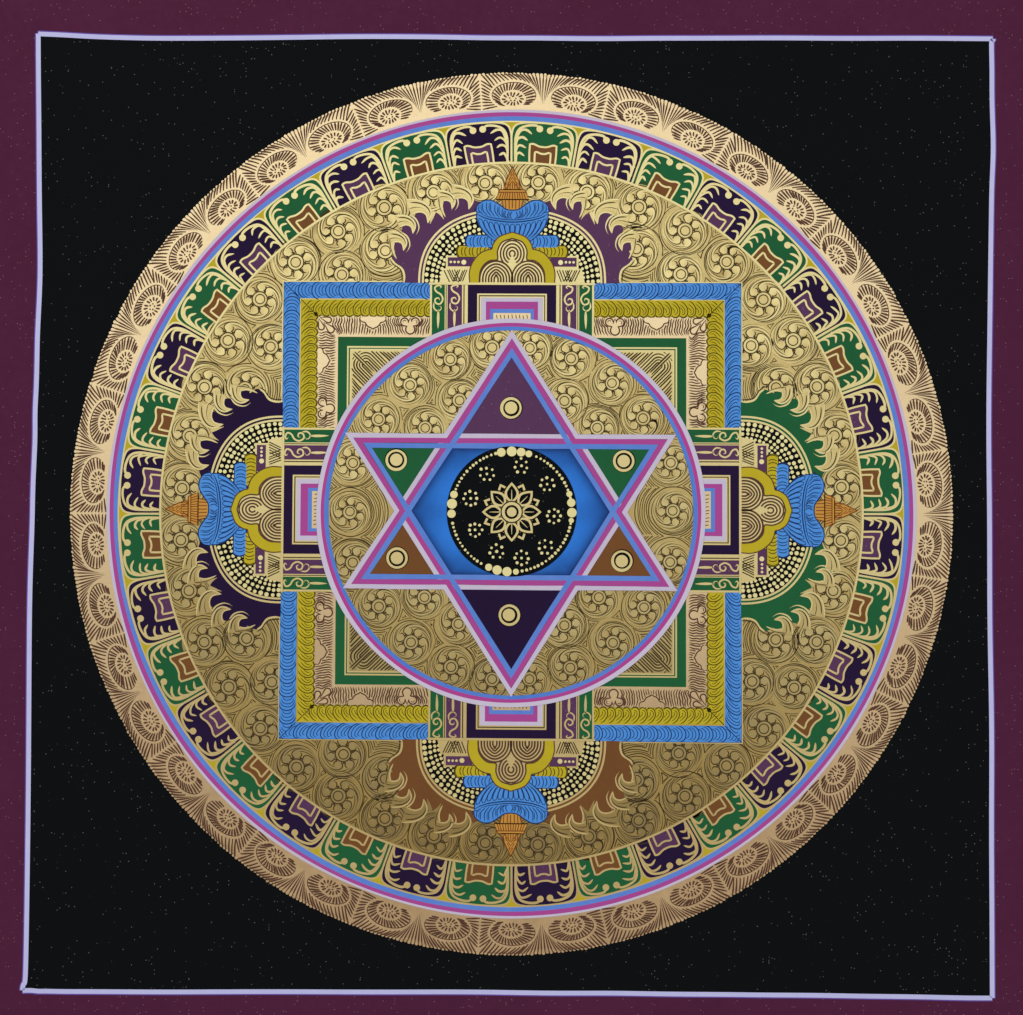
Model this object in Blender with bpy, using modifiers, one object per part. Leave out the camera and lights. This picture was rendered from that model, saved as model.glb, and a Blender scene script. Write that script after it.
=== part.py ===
"""Painted canvas of a thangka, a square cotton sheet laid face up on a surface.

Metres, +Z up. The origin is where the middle of the sheet touches the surface, +X is the
picture's right and +Y is its top. The sheet is one piece of cotton with a chalk ground and
paint on its face. It lies flat, without a fold, on the whole of its underside.
"""

import bmesh
import bpy

# Driving dimensions
SIDE = 0.532  # cut width and height of the canvas
THICKNESS = 0.0012  # cotton, chalk ground and paint together

# Finish of the painted face
PAINT_COLOUR = (0.072, 0.013, 0.048, 1.0)  # dark plum of the painted border
PAINT_ROUGHNESS = 0.72


def clear_scene():
    """Removes every object, so that the script starts from nothing."""
    for obj in list(bpy.data.objects):
        bpy.data.objects.remove(obj, do_unlink=True)


def painted_cotton():
    """The material of the painted face."""
    material = bpy.data.materials.new("painted_cotton")
    material.use_nodes = True
    shader = material.node_tree.nodes["Principled BSDF"]
    shader.inputs["Base Color"].default_value = PAINT_COLOUR
    shader.inputs["Roughness"].default_value = PAINT_ROUGHNESS
    shader.inputs["Metallic"].default_value = 0.0
    return material


def canvas_sheet(collection):
    """The canvas: one square on the surface, given its thickness upwards by Solidify."""
    mesh = bpy.data.meshes.new("canvas")
    square = bmesh.new()
    bmesh.ops.create_grid(square, x_segments=1, y_segments=1, size=SIDE / 2)
    square.to_mesh(mesh)
    square.free()
    mesh.materials.append(painted_cotton())
    sheet = bpy.data.objects.new("canvas", mesh)
    collection.objects.link(sheet)
    wall = sheet.modifiers.new("cloth_thickness", "SOLIDIFY")
    wall.thickness = THICKNESS
    wall.offset = 1.0
    wall.use_rim = True
    return sheet


def main():
    """Builds the canvas in a collection of its own."""
    clear_scene()
    collection = bpy.data.collections.new("thangka")
    bpy.context.scene.collection.children.link(collection)
    canvas_sheet(collection)


main()
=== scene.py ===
"""Looks of the painted thangka canvas: the cotton sheet and every coat of paint on its face.

The picture is laid out in millimetres from the middle of the mandala, +X to the right and
+Y to the top. A coat of paint is a thin flat mesh that follows the cloth, one a little above
the other in the order in which the painter lays them.
"""

import logging
import math
from dataclasses import dataclass, field
from enum import Enum
from typing import Callable

import bpy
import numpy as np
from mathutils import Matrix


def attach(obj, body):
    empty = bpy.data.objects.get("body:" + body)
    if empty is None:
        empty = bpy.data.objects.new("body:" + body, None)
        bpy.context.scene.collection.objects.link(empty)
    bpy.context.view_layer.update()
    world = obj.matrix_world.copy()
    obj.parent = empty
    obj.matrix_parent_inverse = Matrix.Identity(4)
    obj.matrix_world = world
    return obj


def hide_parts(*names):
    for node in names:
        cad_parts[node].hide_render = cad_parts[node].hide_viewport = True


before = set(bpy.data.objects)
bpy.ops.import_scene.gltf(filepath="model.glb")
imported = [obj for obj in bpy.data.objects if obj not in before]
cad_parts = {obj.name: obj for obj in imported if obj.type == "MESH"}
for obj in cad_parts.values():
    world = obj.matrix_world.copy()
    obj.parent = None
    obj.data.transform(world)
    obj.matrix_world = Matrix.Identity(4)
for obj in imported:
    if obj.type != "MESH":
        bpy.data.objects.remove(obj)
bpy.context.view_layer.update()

MM = 0.001
COAT_STEP = 0.02  # mm between one coat of paint and the next
LOG = logging.getLogger("thangka")
Array = np.ndarray


class Tip(Enum):
    """How the width of a brush stroke runs from its start to its end."""

    EVEN = "even"
    ROUND = "round"
    LEAF = "leaf"
    COMMA = "comma"
    WEDGE = "wedge"
    HOOK = "hook"
    DROP = "drop"

    def widths(self, count: int) -> Array:
        """Width factors along a stroke.

        Args:
            count: how many points the stroke has.

        Returns:
            One factor of the full width for each point.
        """
        t = np.linspace(0.0, 1.0, count)
        if self is Tip.ROUND:
            return np.clip(1.0 - np.abs(2.0 * t - 1.0) ** 7, 0.16, 1.0)
        if self is Tip.LEAF:
            return np.clip(np.sin(np.pi * t) ** 0.7, 0.1, 1.0)
        if self is Tip.COMMA:
            return np.clip(np.minimum(1.0, 6.0 * t + 0.3) * (1.0 - t**1.6), 0.1, 1.0)
        if self is Tip.WEDGE:
            return np.clip(np.minimum(1.0, 9.0 * t + 0.5) * (1.0 - 0.45 * t), 0.1, 1.0)
        if self is Tip.HOOK:
            return np.clip(np.minimum(0.75 + 0.5 * t, 5.0 * (1.0 - t) + 0.25), 0.1, 1.0)
        if self is Tip.DROP:
            swell = 0.45 + 0.75 * np.exp(-(((t - 0.88) / 0.16) ** 2))
            return swell * np.clip(1.0 - np.maximum(t - 0.9, 0.0) * 8.5, 0.2, 1.0)
        return np.ones(count)


def linear(code: str) -> tuple[float, float, float, float]:
    """Turns a colour written as hex into the linear values a shader takes.

    Args:
        code: six hex digits.

    Returns:
        Red, green, blue and alpha.
    """
    parts = [int(code[i : i + 2], 16) / 255 for i in (0, 2, 4)]
    return (*[p / 12.92 if p < 0.04045 else ((p + 0.055) / 1.055) ** 2.4 for p in parts], 1.0)


def polar(angle: Array, radius: Array) -> Array:
    """Points at angles clockwise from the top, in radians, and at radii from the middle."""
    return np.stack([radius * np.sin(angle), radius * np.cos(angle)], -1)


def ring(radius: float, count: int, centre: tuple[float, float] = (0.0, 0.0)) -> Array:
    """A circle's points, once round without repeating the first, as (count, 2)."""
    angle = np.linspace(0.0, 2.0 * np.pi, count, endpoint=False)
    return polar(angle, np.full(count, radius)) + np.array(centre)


def arc(radius: Array, start: Array, end: Array, count: int) -> Array:
    """Arcs about the middle from one angle to another, clockwise from the top.

    Args:
        radius: one radius for each arc.
        start: start angles in radians.
        end: end angles in radians.
        count: points along each arc.

    Returns:
        (arcs, count, 2) points.
    """
    radius, start, end = np.broadcast_arrays(*np.atleast_1d(radius, start, end))
    t = np.linspace(0.0, 1.0, count)
    angle = start[:, None] + (end - start)[:, None] * t
    return polar(angle, np.repeat(radius[:, None], count, 1))


def smooth(points: Array, count: int) -> Array:
    """Smooth curves through control points, by the Catmull-Rom formula.

    Args:
        points: (curves, controls, 2) or (controls, 2) control points.
        count: points along each finished curve.

    Returns:
        (curves, count, 2) points.
    """
    points = np.asarray(points, float)
    points = points[None] if points.ndim == 2 else points
    first, last = 2 * points[:, :1] - points[:, 1:2], 2 * points[:, -1:] - points[:, -2:-1]
    held = np.concatenate([first, points, last], 1)
    spans = points.shape[1] - 1
    place = np.linspace(0.0, spans, count)
    at = np.minimum(place.astype(int), spans - 1)
    t = (place - at)[None, :, None]
    a, b, c, d = (held[:, at + k] for k in range(4))
    return 0.5 * (2 * b + (c - a) * t + (2 * a - 5 * b + 4 * c - d) * t**2 + (3 * b - a - 3 * c + d) * t**3)


def ribbon(path: Array, width: float | Array, tip: Tip = Tip.ROUND) -> Array:
    """A brush stroke: a width carried along a path, square to its direction.

    Args:
        path: (strokes, points, 2) centre lines.
        width: full width, one number or one for each stroke.
        tip: how the width runs along the stroke.

    Returns:
        (strokes, points, 2, 2) grids, the left edge and the right edge of each stroke.
    """
    path = np.asarray(path, float)
    path = path[None] if path.ndim == 2 else path
    ahead = np.gradient(path, axis=1)
    ahead /= np.maximum(np.linalg.norm(ahead, axis=-1, keepdims=True), 1e-9)
    side = np.stack([-ahead[..., 1], ahead[..., 0]], -1)
    half = 0.5 * np.broadcast_to(np.asarray(width, float).reshape(-1, 1), path.shape[:2])
    half = (half * tip.widths(path.shape[1]))[..., None]
    return np.stack([path + half * side, path - half * side], 2)


def between(inner: Array, outer: Array, across: int = 2) -> Array:
    """A surface ruled from one line to another.

    Args:
        inner: (sheets, points, 2) or (points, 2) first line.
        outer: second line, of the same shape.
        across: points from the first line to the second.

    Returns:
        (sheets, points, across, 2) grids.
    """
    inner, outer = np.broadcast_arrays(np.asarray(inner, float), np.asarray(outer, float))
    if inner.ndim == 2:
        inner, outer = inner[None], outer[None]
    t = np.linspace(0.0, 1.0, across)[None, None, :, None]
    return inner[:, :, None] * (1.0 - t) + outer[:, :, None] * t


def bend(local: Array, angles: Array, base: float, reference: float) -> Array:
    """Carries a flat motif round the ring at each angle.

    Args:
        local: (..., 2) points, along the ring and outwards, in millimetres.
        angles: where the copies stand, in radians clockwise from the top.
        base: radius at which the motif's outward coordinate is nought.
        reference: radius at which the motif's own width is true.

    Returns:
        (copies, ..., 2) points.
    """
    local = np.asarray(local, float)
    angle = np.asarray(angles, float).reshape(-1, *([1] * (local.ndim - 1)))
    return polar(angle + local[..., 0] / reference, base + local[..., 1] + 0 * angle)


def turned(points: Array, angles: Array, centres: Array | None = None) -> Array:
    """Copies of points turned anticlockwise about the origin, then moved.

    Args:
        points: (..., 2) points.
        angles: one angle in radians for each copy.
        centres: (copies, 2) where each copy's origin goes, or None to leave it.

    Returns:
        (copies, ..., 2) points.
    """
    points, angles = np.asarray(points, float), np.atleast_1d(np.asarray(angles, float))
    shape = (-1, *([1] * (points.ndim - 1)))
    c, s = np.cos(angles).reshape(shape), np.sin(angles).reshape(shape)
    out = np.stack([c * points[..., 0] - s * points[..., 1], s * points[..., 0] + c * points[..., 1]], -1)
    return out if centres is None else out + np.asarray(centres).reshape(-1, *([1] * (points.ndim - 1)), 2)


def mirrored(points: Array) -> Array:
    """The points and their mirror image in the Y axis, one after the other on the first axis."""
    points = np.asarray(points, float)
    return np.concatenate([points, points * np.array([-1.0, 1.0])])


@dataclass(frozen=True)
class Cloth:
    """The cotton sheet, whose middle lies flat and whose rim lifts in low waves."""

    side: float = 532.0
    thickness: float = 1.2
    flat_share: float = 0.8
    rim_lift: float = 0.9
    corner_lift: float = 1.0
    rim_waves: int = 5
    rim_phase: float = 0.7
    cells: int = 150

    def lift(self, x: Array, y: Array) -> Array:
        """Height of the underside: a soft step outwards times a cosine wave, more at the corners.

        Args:
            x: places across, in millimetres.
            y: places up the picture, in millimetres.

        Returns:
            Heights in millimetres.
        """
        across, along = np.abs(x) / (self.side / 2), np.abs(y) / (self.side / 2)
        outward = (across**4 + along**4) ** 0.25
        held = np.clip((outward - self.flat_share) / (1.0 - self.flat_share), 0.0, 1.0)
        wave = 0.5 + 0.5 * np.cos(self.rim_waves * np.arctan2(y, x) + self.rim_phase)
        return held**2 * (3.0 - 2.0 * held) * (self.rim_lift * wave + self.corner_lift * (across * along) ** 3)

    def face(self, x: Array, y: Array) -> Array:
        """Height of the bare face, in millimetres."""
        return self.lift(x, y) + self.thickness


CLOTH = Cloth()


class Hand:
    """A painter's hand: small seeded slips in place, width and load of the brush."""

    def __init__(self, seed: int) -> None:
        """Starts the hand from its own seed."""
        self.rng = np.random.default_rng(seed)

    def slip(self, paths: Array, amount: float) -> Array:
        """Moves each path as a whole and bows it a little.

        Args:
            paths: (paths, points, 2) lines.
            amount: typical slip in millimetres.

        Returns:
            The moved lines.
        """
        count, points = paths.shape[:2]
        t = np.linspace(0.0, np.pi, points)[None, :, None]
        whole, bow = self.rng.normal(0.0, amount, (2, count, 1, 2))
        return paths + whole + 0.7 * bow * np.sin(t)

    def waver(self, line: Array, amount: float, waves: int = 7) -> Array:
        """Lets a long closed or open line waver by a few slow waves.

        Args:
            line: (points, 2) line.
            amount: typical waver in millimetres.
            waves: the quickest wave, in turns along the line.

        Returns:
            The wavering line.
        """
        t = np.linspace(0.0, 2.0 * np.pi, len(line))[:, None]
        turns = np.arange(1, waves + 1)[None, :]
        size = self.rng.normal(0.0, amount, (2, waves)) / np.sqrt(waves)
        phase = self.rng.uniform(0.0, 2.0 * np.pi, (2, waves))
        return line + np.stack([(np.sin(turns * t + p) * s).sum(1) for s, p in zip(size, phase)], -1)


class NodeBook:
    """Makes each shader node group once and hands it out again."""

    groups: dict[str, bpy.types.NodeTree] = {}

    @classmethod
    def group(cls, name: str, inputs: dict[str, float], output: str) -> tuple[bpy.types.NodeTree, bool]:
        """Finds or starts a node group.

        Args:
            name: the group's name.
            inputs: float inputs with their defaults; a Vector input is always there.
            output: name of the one float output.

        Returns:
            The group, and True if it is new and still empty.
        """
        if name in cls.groups:
            return cls.groups[name], False
        tree = bpy.data.node_groups.new(name, "ShaderNodeTree")
        tree.interface.new_socket("Vector", in_out="INPUT", socket_type="NodeSocketVector")
        for label, value in inputs.items():
            socket = tree.interface.new_socket(label, in_out="INPUT", socket_type="NodeSocketFloat")
            socket.default_value = value
        tree.interface.new_socket(output, in_out="OUTPUT", socket_type="NodeSocketFloat")
        cls.groups[name] = tree
        return tree, True


class Tree:
    """A thin helper to add and join nodes in one node tree."""

    def __init__(self, tree: bpy.types.NodeTree) -> None:
        """Keeps the tree that nodes are added to."""
        self.tree = tree

    def add(self, kind: str, values: dict | None = None, **settings: object) -> bpy.types.Node:
        """Adds one node.

        Args:
            kind: node type without its ShaderNode prefix, or the full name of a group node.
            values: input socket, by name or number, to a value or to another node's output.
            settings: attributes of the node.

        Returns:
            The new node.
        """
        node = self.tree.nodes.new(kind if kind.startswith("Node") else "ShaderNode" + kind)
        for name, value in settings.items():
            setattr(node, name, value)
        for name, value in (values or {}).items():
            if isinstance(value, bpy.types.NodeSocket):
                self.tree.links.new(value, node.inputs[name])
            else:
                node.inputs[name].default_value = value
        return node

    def math(self, operation: str, a: object, b: object = 0.0, clamp: bool = False) -> bpy.types.NodeSocket:
        """Adds a maths node and returns its output."""
        return self.add("Math", {0: a, 1: b}, operation=operation, use_clamp=clamp).outputs[0]


def weave_group() -> bpy.types.NodeTree:
    """Thread height of plain woven cotton.

    Two sets of ridges cross, one along X and one along Y, bent a little by slow noise so that
    no thread runs quite straight, and the higher of the two shows.
    """
    tree, new = NodeBook.group("woven_threads", {"Pitch": 0.00062}, "Height")
    if new:
        t = Tree(tree)
        given, out = t.add("NodeGroupInput"), t.add("NodeGroupOutput")
        bent = t.add("TexNoise", {"Vector": given.outputs["Vector"], "Scale": 38.0, "Detail": 2.0})
        shift = t.add("VectorMath", {0: bent.outputs["Color"], "Scale": 0.0011}, operation="SCALE")
        moved = t.add("VectorMath", {0: given.outputs["Vector"], 1: shift.outputs[0]}, operation="ADD")
        parts = t.add("SeparateXYZ", {0: moved.outputs[0]})
        turns = t.math("DIVIDE", 2.0 * math.pi, given.outputs["Pitch"])
        ridge_x = t.math("SINE", t.math("MULTIPLY", parts.outputs[0], turns))
        ridge_y = t.math("SINE", t.math("MULTIPLY", parts.outputs[1], turns))
        crossed = t.math("MAXIMUM", ridge_x, ridge_y)
        slub = t.add("TexNoise", {"Vector": given.outputs["Vector"], "Scale": 420.0, "Detail": 3.0})
        rough = t.math("MULTIPLY", slub.outputs[0], 1.3)
        t.tree.links.new(t.math("ADD", t.math("MULTIPLY", crossed, 0.35), rough), out.inputs["Height"])
    return tree


def mottle_group() -> bpy.types.NodeTree:
    """Uneven load of the brush: broad clouds and fine streaks, as a value from 0 to 1."""
    tree, new = NodeBook.group("brush_mottle", {"Broad": 30.0, "Fine": 260.0, "Contrast": 1.6}, "Value")
    if new:
        t = Tree(tree)
        given, out = t.add("NodeGroupInput"), t.add("NodeGroupOutput")
        vector = given.outputs["Vector"]
        broad = t.add("TexNoise", {"Vector": vector, "Scale": given.outputs["Broad"], "Detail": 3.0})
        fine = t.add("TexNoise", {"Vector": vector, "Scale": given.outputs["Fine"], "Detail": 4.0})
        both = t.math("ADD", t.math("MULTIPLY", broad.outputs[0], 0.5), t.math("MULTIPLY", fine.outputs[0], 0.5))
        spread = t.math("MULTIPLY", t.math("SUBTRACT", both, 0.5), given.outputs["Contrast"])
        t.tree.links.new(t.math("ADD", spread, 0.5, clamp=True), out.inputs["Value"])
    return tree


def fleck_group() -> bpy.types.NodeTree:
    """Pale specks of lint and chalk that the paint missed, as a mask from 0 to 1."""
    tree, new = NodeBook.group("lint_flecks", {"Scale": 700.0, "Size": 0.16, "Share": 0.5}, "Mask")
    if new:
        t = Tree(tree)
        given, out = t.add("NodeGroupInput"), t.add("NodeGroupOutput")
        cells = t.add("TexVoronoi", {"Vector": given.outputs["Vector"], "Scale": given.outputs["Scale"]})
        chosen = t.math("LESS_THAN", t.add("SeparateXYZ", {0: cells.outputs["Color"]}).outputs[0], given.outputs["Share"])
        near = t.math("LESS_THAN", cells.outputs["Distance"], given.outputs["Size"])
        t.tree.links.new(t.math("MULTIPLY", near, chosen), out.inputs["Mask"])
    return tree


def painted_shade_ramp_group() -> bpy.types.NodeTree:
    """Painted shade: how far down the picture a place lies, from 0 near the top to 1 near the foot.

    The height on the sheet runs through a soft ramp that slow noise makes uneven. Paints darken along it towards the
    foot, standing in for light that falls off towards the bottom.
    """
    tree, new = NodeBook.group("painted_shade_towards_foot", {"Top": 0.16, "Foot": -0.2}, "Value")
    if new:
        t = Tree(tree)
        given, out = t.add("NodeGroupInput"), t.add("NodeGroupOutput")
        height = t.add("SeparateXYZ", {0: given.outputs["Vector"]}).outputs[1]
        slow = t.add("TexNoise", {"Vector": given.outputs["Vector"], "Scale": 9.0, "Detail": 1.0})
        uneven = t.math("ADD", height, t.math("MULTIPLY", t.math("SUBTRACT", slow.outputs[0], 0.5), 0.12))
        ramp = t.add("MapRange", {0: uneven, 1: given.outputs["Top"], 2: given.outputs["Foot"]})
        ramp.interpolation_type = "SMOOTHSTEP"
        t.tree.links.new(ramp.outputs[0], out.inputs["Value"])
    return tree


@dataclass(frozen=True)
class Paint:
    """A pigment ground in glue and brushed on.

    Attributes:
        name: what the painter calls it.
        body: its colour where it lies thick, in hex.
        thin: its colour where it lies thin or has been rubbed, in hex.
        foot: painted shade, its darker colour towards the foot of the picture where the light falls off and the gold
            shines less, or empty where it stays the same.
        roughness: how matt it dries.
        metallic: share of metal, for the gold.
        mottle: how far the brush marks go towards the thin colour.
        relief: how strongly threads and brush marks stand up, as a bump.
        flecks: share of specks showing.
        gloss: how much it shines beside its colour.
    """

    name: str
    body: str
    thin: str
    foot: str = ""
    roughness: float = 0.7
    metallic: float = 0.0
    mottle: float = 0.5
    relief: float = 0.25
    flecks: float = 0.0
    gloss: float = 0.15

    def material(self) -> bpy.types.Material:
        """The paint's material, made the first time that it is asked for.

        Returns:
            A node material that reads Object coordinates and each stroke's own tone.
        """
        if self.name in bpy.data.materials:
            return bpy.data.materials[self.name]
        material = bpy.data.materials.new(self.name)
        material.use_nodes = True
        t = Tree(material.node_tree)
        shader = material.node_tree.nodes["Principled BSDF"]
        place = t.add("TexCoord").outputs["Object"]
        mottle = t.add("Group", {}, node_tree=mottle_group())
        weave = t.add("Group", {}, node_tree=weave_group())
        for node in (mottle, weave):
            t.tree.links.new(place, node.inputs["Vector"])
        tone = t.add("Attribute", attribute_name="tone").outputs["Fac"]
        load = t.math("MULTIPLY", mottle.outputs[0], self.mottle)
        share = t.math("ADD", load, tone, clamp=True)
        body = linear(self.body)
        base = body
        # Painted shade: the base colour darkens towards the foot of the picture, standing in for light that falls off
        # and a dimmer gold reflection towards the bottom.
        if self.foot:
            foot = t.add("Group", {}, node_tree=painted_shade_ramp_group())
            t.tree.links.new(place, foot.inputs["Vector"])
            base = t.add("Mix", {0: foot.outputs[0], 6: body, 7: linear(self.foot)}, data_type="RGBA").outputs[2]
        colour = t.add("Mix", {0: share, 6: base, 7: linear(self.thin)}, data_type="RGBA").outputs[2]
        if self.flecks:
            lint = t.add("Group", {"Share": self.flecks}, node_tree=fleck_group())
            t.tree.links.new(place, lint.inputs["Vector"])
            pale = t.math("MULTIPLY", lint.outputs[0], 0.2)
            colour = t.add("Mix", {0: pale, 6: colour, 7: linear("D9CDB8")}, data_type="RGBA").outputs[2]
        t.tree.links.new(colour, shader.inputs["Base Color"])
        matt = t.add("MapRange", {0: mottle.outputs[0], 3: self.roughness - 0.08, 4: self.roughness + 0.1})
        t.tree.links.new(matt.outputs[0], shader.inputs["Roughness"])
        shader.inputs["Metallic"].default_value = self.metallic
        shader.inputs["Specular IOR Level"].default_value = self.gloss
        height = t.math("ADD", weave.outputs[0], t.math("MULTIPLY", mottle.outputs[0], 0.7))
        bump = t.add("Bump", {"Strength": self.relief, "Distance": 0.0002, "Height": height})
        t.tree.links.new(bump.outputs[0], shader.inputs["Normal"])
        return material


COTTON = Paint("raw_cotton", "B9AC92", "9A8C72", roughness=0.85, mottle=0.6, relief=0.9)
PLUM = Paint("plum_ground", "441830", "582742", roughness=0.78, mottle=0.55, relief=0.5, flecks=0.2, gloss=0.06)
LAMP_BLACK = Paint("lamp_black", "050607", "0E1013", roughness=0.75, mottle=0.6, relief=0.5, flecks=0.15, gloss=0.06)
LILAC = Paint("lilac_white", "BDBBDD", "A5A3CE", mottle=0.5)
PEARL = Paint("pearl_grey", "C6BCCB", "B5A9BC", mottle=0.6)
VIOLET = Paint("violet_edge", "6A4FA0", "4E3A86")
MAGENTA = Paint("magenta_lake", "AE3C86", "944C8E", mottle=0.7)
CORNFLOWER = Paint("cornflower_blue", "4874C2", "6F8CCB", mottle=0.7)
AZURE = Paint("azure_blue", "4283CC", "5E99D8", mottle=0.5)
AZURE_DEEP = Paint("azure_to_navy", "2E7AD6", "0A1E52", mottle=0.12)
NAVY = Paint("navy_line", "142E60", "0D1E40")
GREEN = Paint("malachite_green", "13512A", "1F6339", mottle=0.5)
MUSTARD = Paint("mustard_ochre", "BEAA20", "A38E1A", mottle=0.6)
OLIVE = Paint("olive_line", "3A3206", "2A2304")
AUBERGINE = Paint("aubergine", "1C0C2A", "2A1840", mottle=0.5, gloss=0.08)
MAUVE = Paint("dull_mauve", "4E2B4C", "5D3859", mottle=0.6, flecks=0.15)
EARTH = Paint("red_earth", "68401C", "7A4E26", mottle=0.6)
# The fourth colour of the golds and the cream is painted shade, darker towards the foot of the picture where the light
# falls off.
GOLD = Paint("gold_wash", "F0DC98", "A88A48", "7D6840", roughness=0.5, metallic=0.35, mottle=0.5)
GOLD_LINE = Paint("gold_line", "EBDC9C", "D6BE78", "B59A66", roughness=0.42, metallic=0.4, mottle=0.4)
ROSE_GOLD = Paint("rose_gold", "F4DBAA", "DDBE8C", "A68660", roughness=0.45, metallic=0.4, mottle=0.5)
UMBER = Paint("umber_line", "33260F", "52401C", roughness=0.6)
SEPIA = Paint("sepia_mark", "4A2E20", "64422E", roughness=0.6)
CREAM = Paint("cream_dot", "EFE6A8", "DCCB86", "CDBB80", roughness=0.5, metallic=0.2)
RUST = Paint("rust_line", "6E3A12", "854A1C", roughness=0.6)
AMBER = Paint("amber_gold", "CC9440", "A8702A", roughness=0.5, metallic=0.25)


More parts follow.
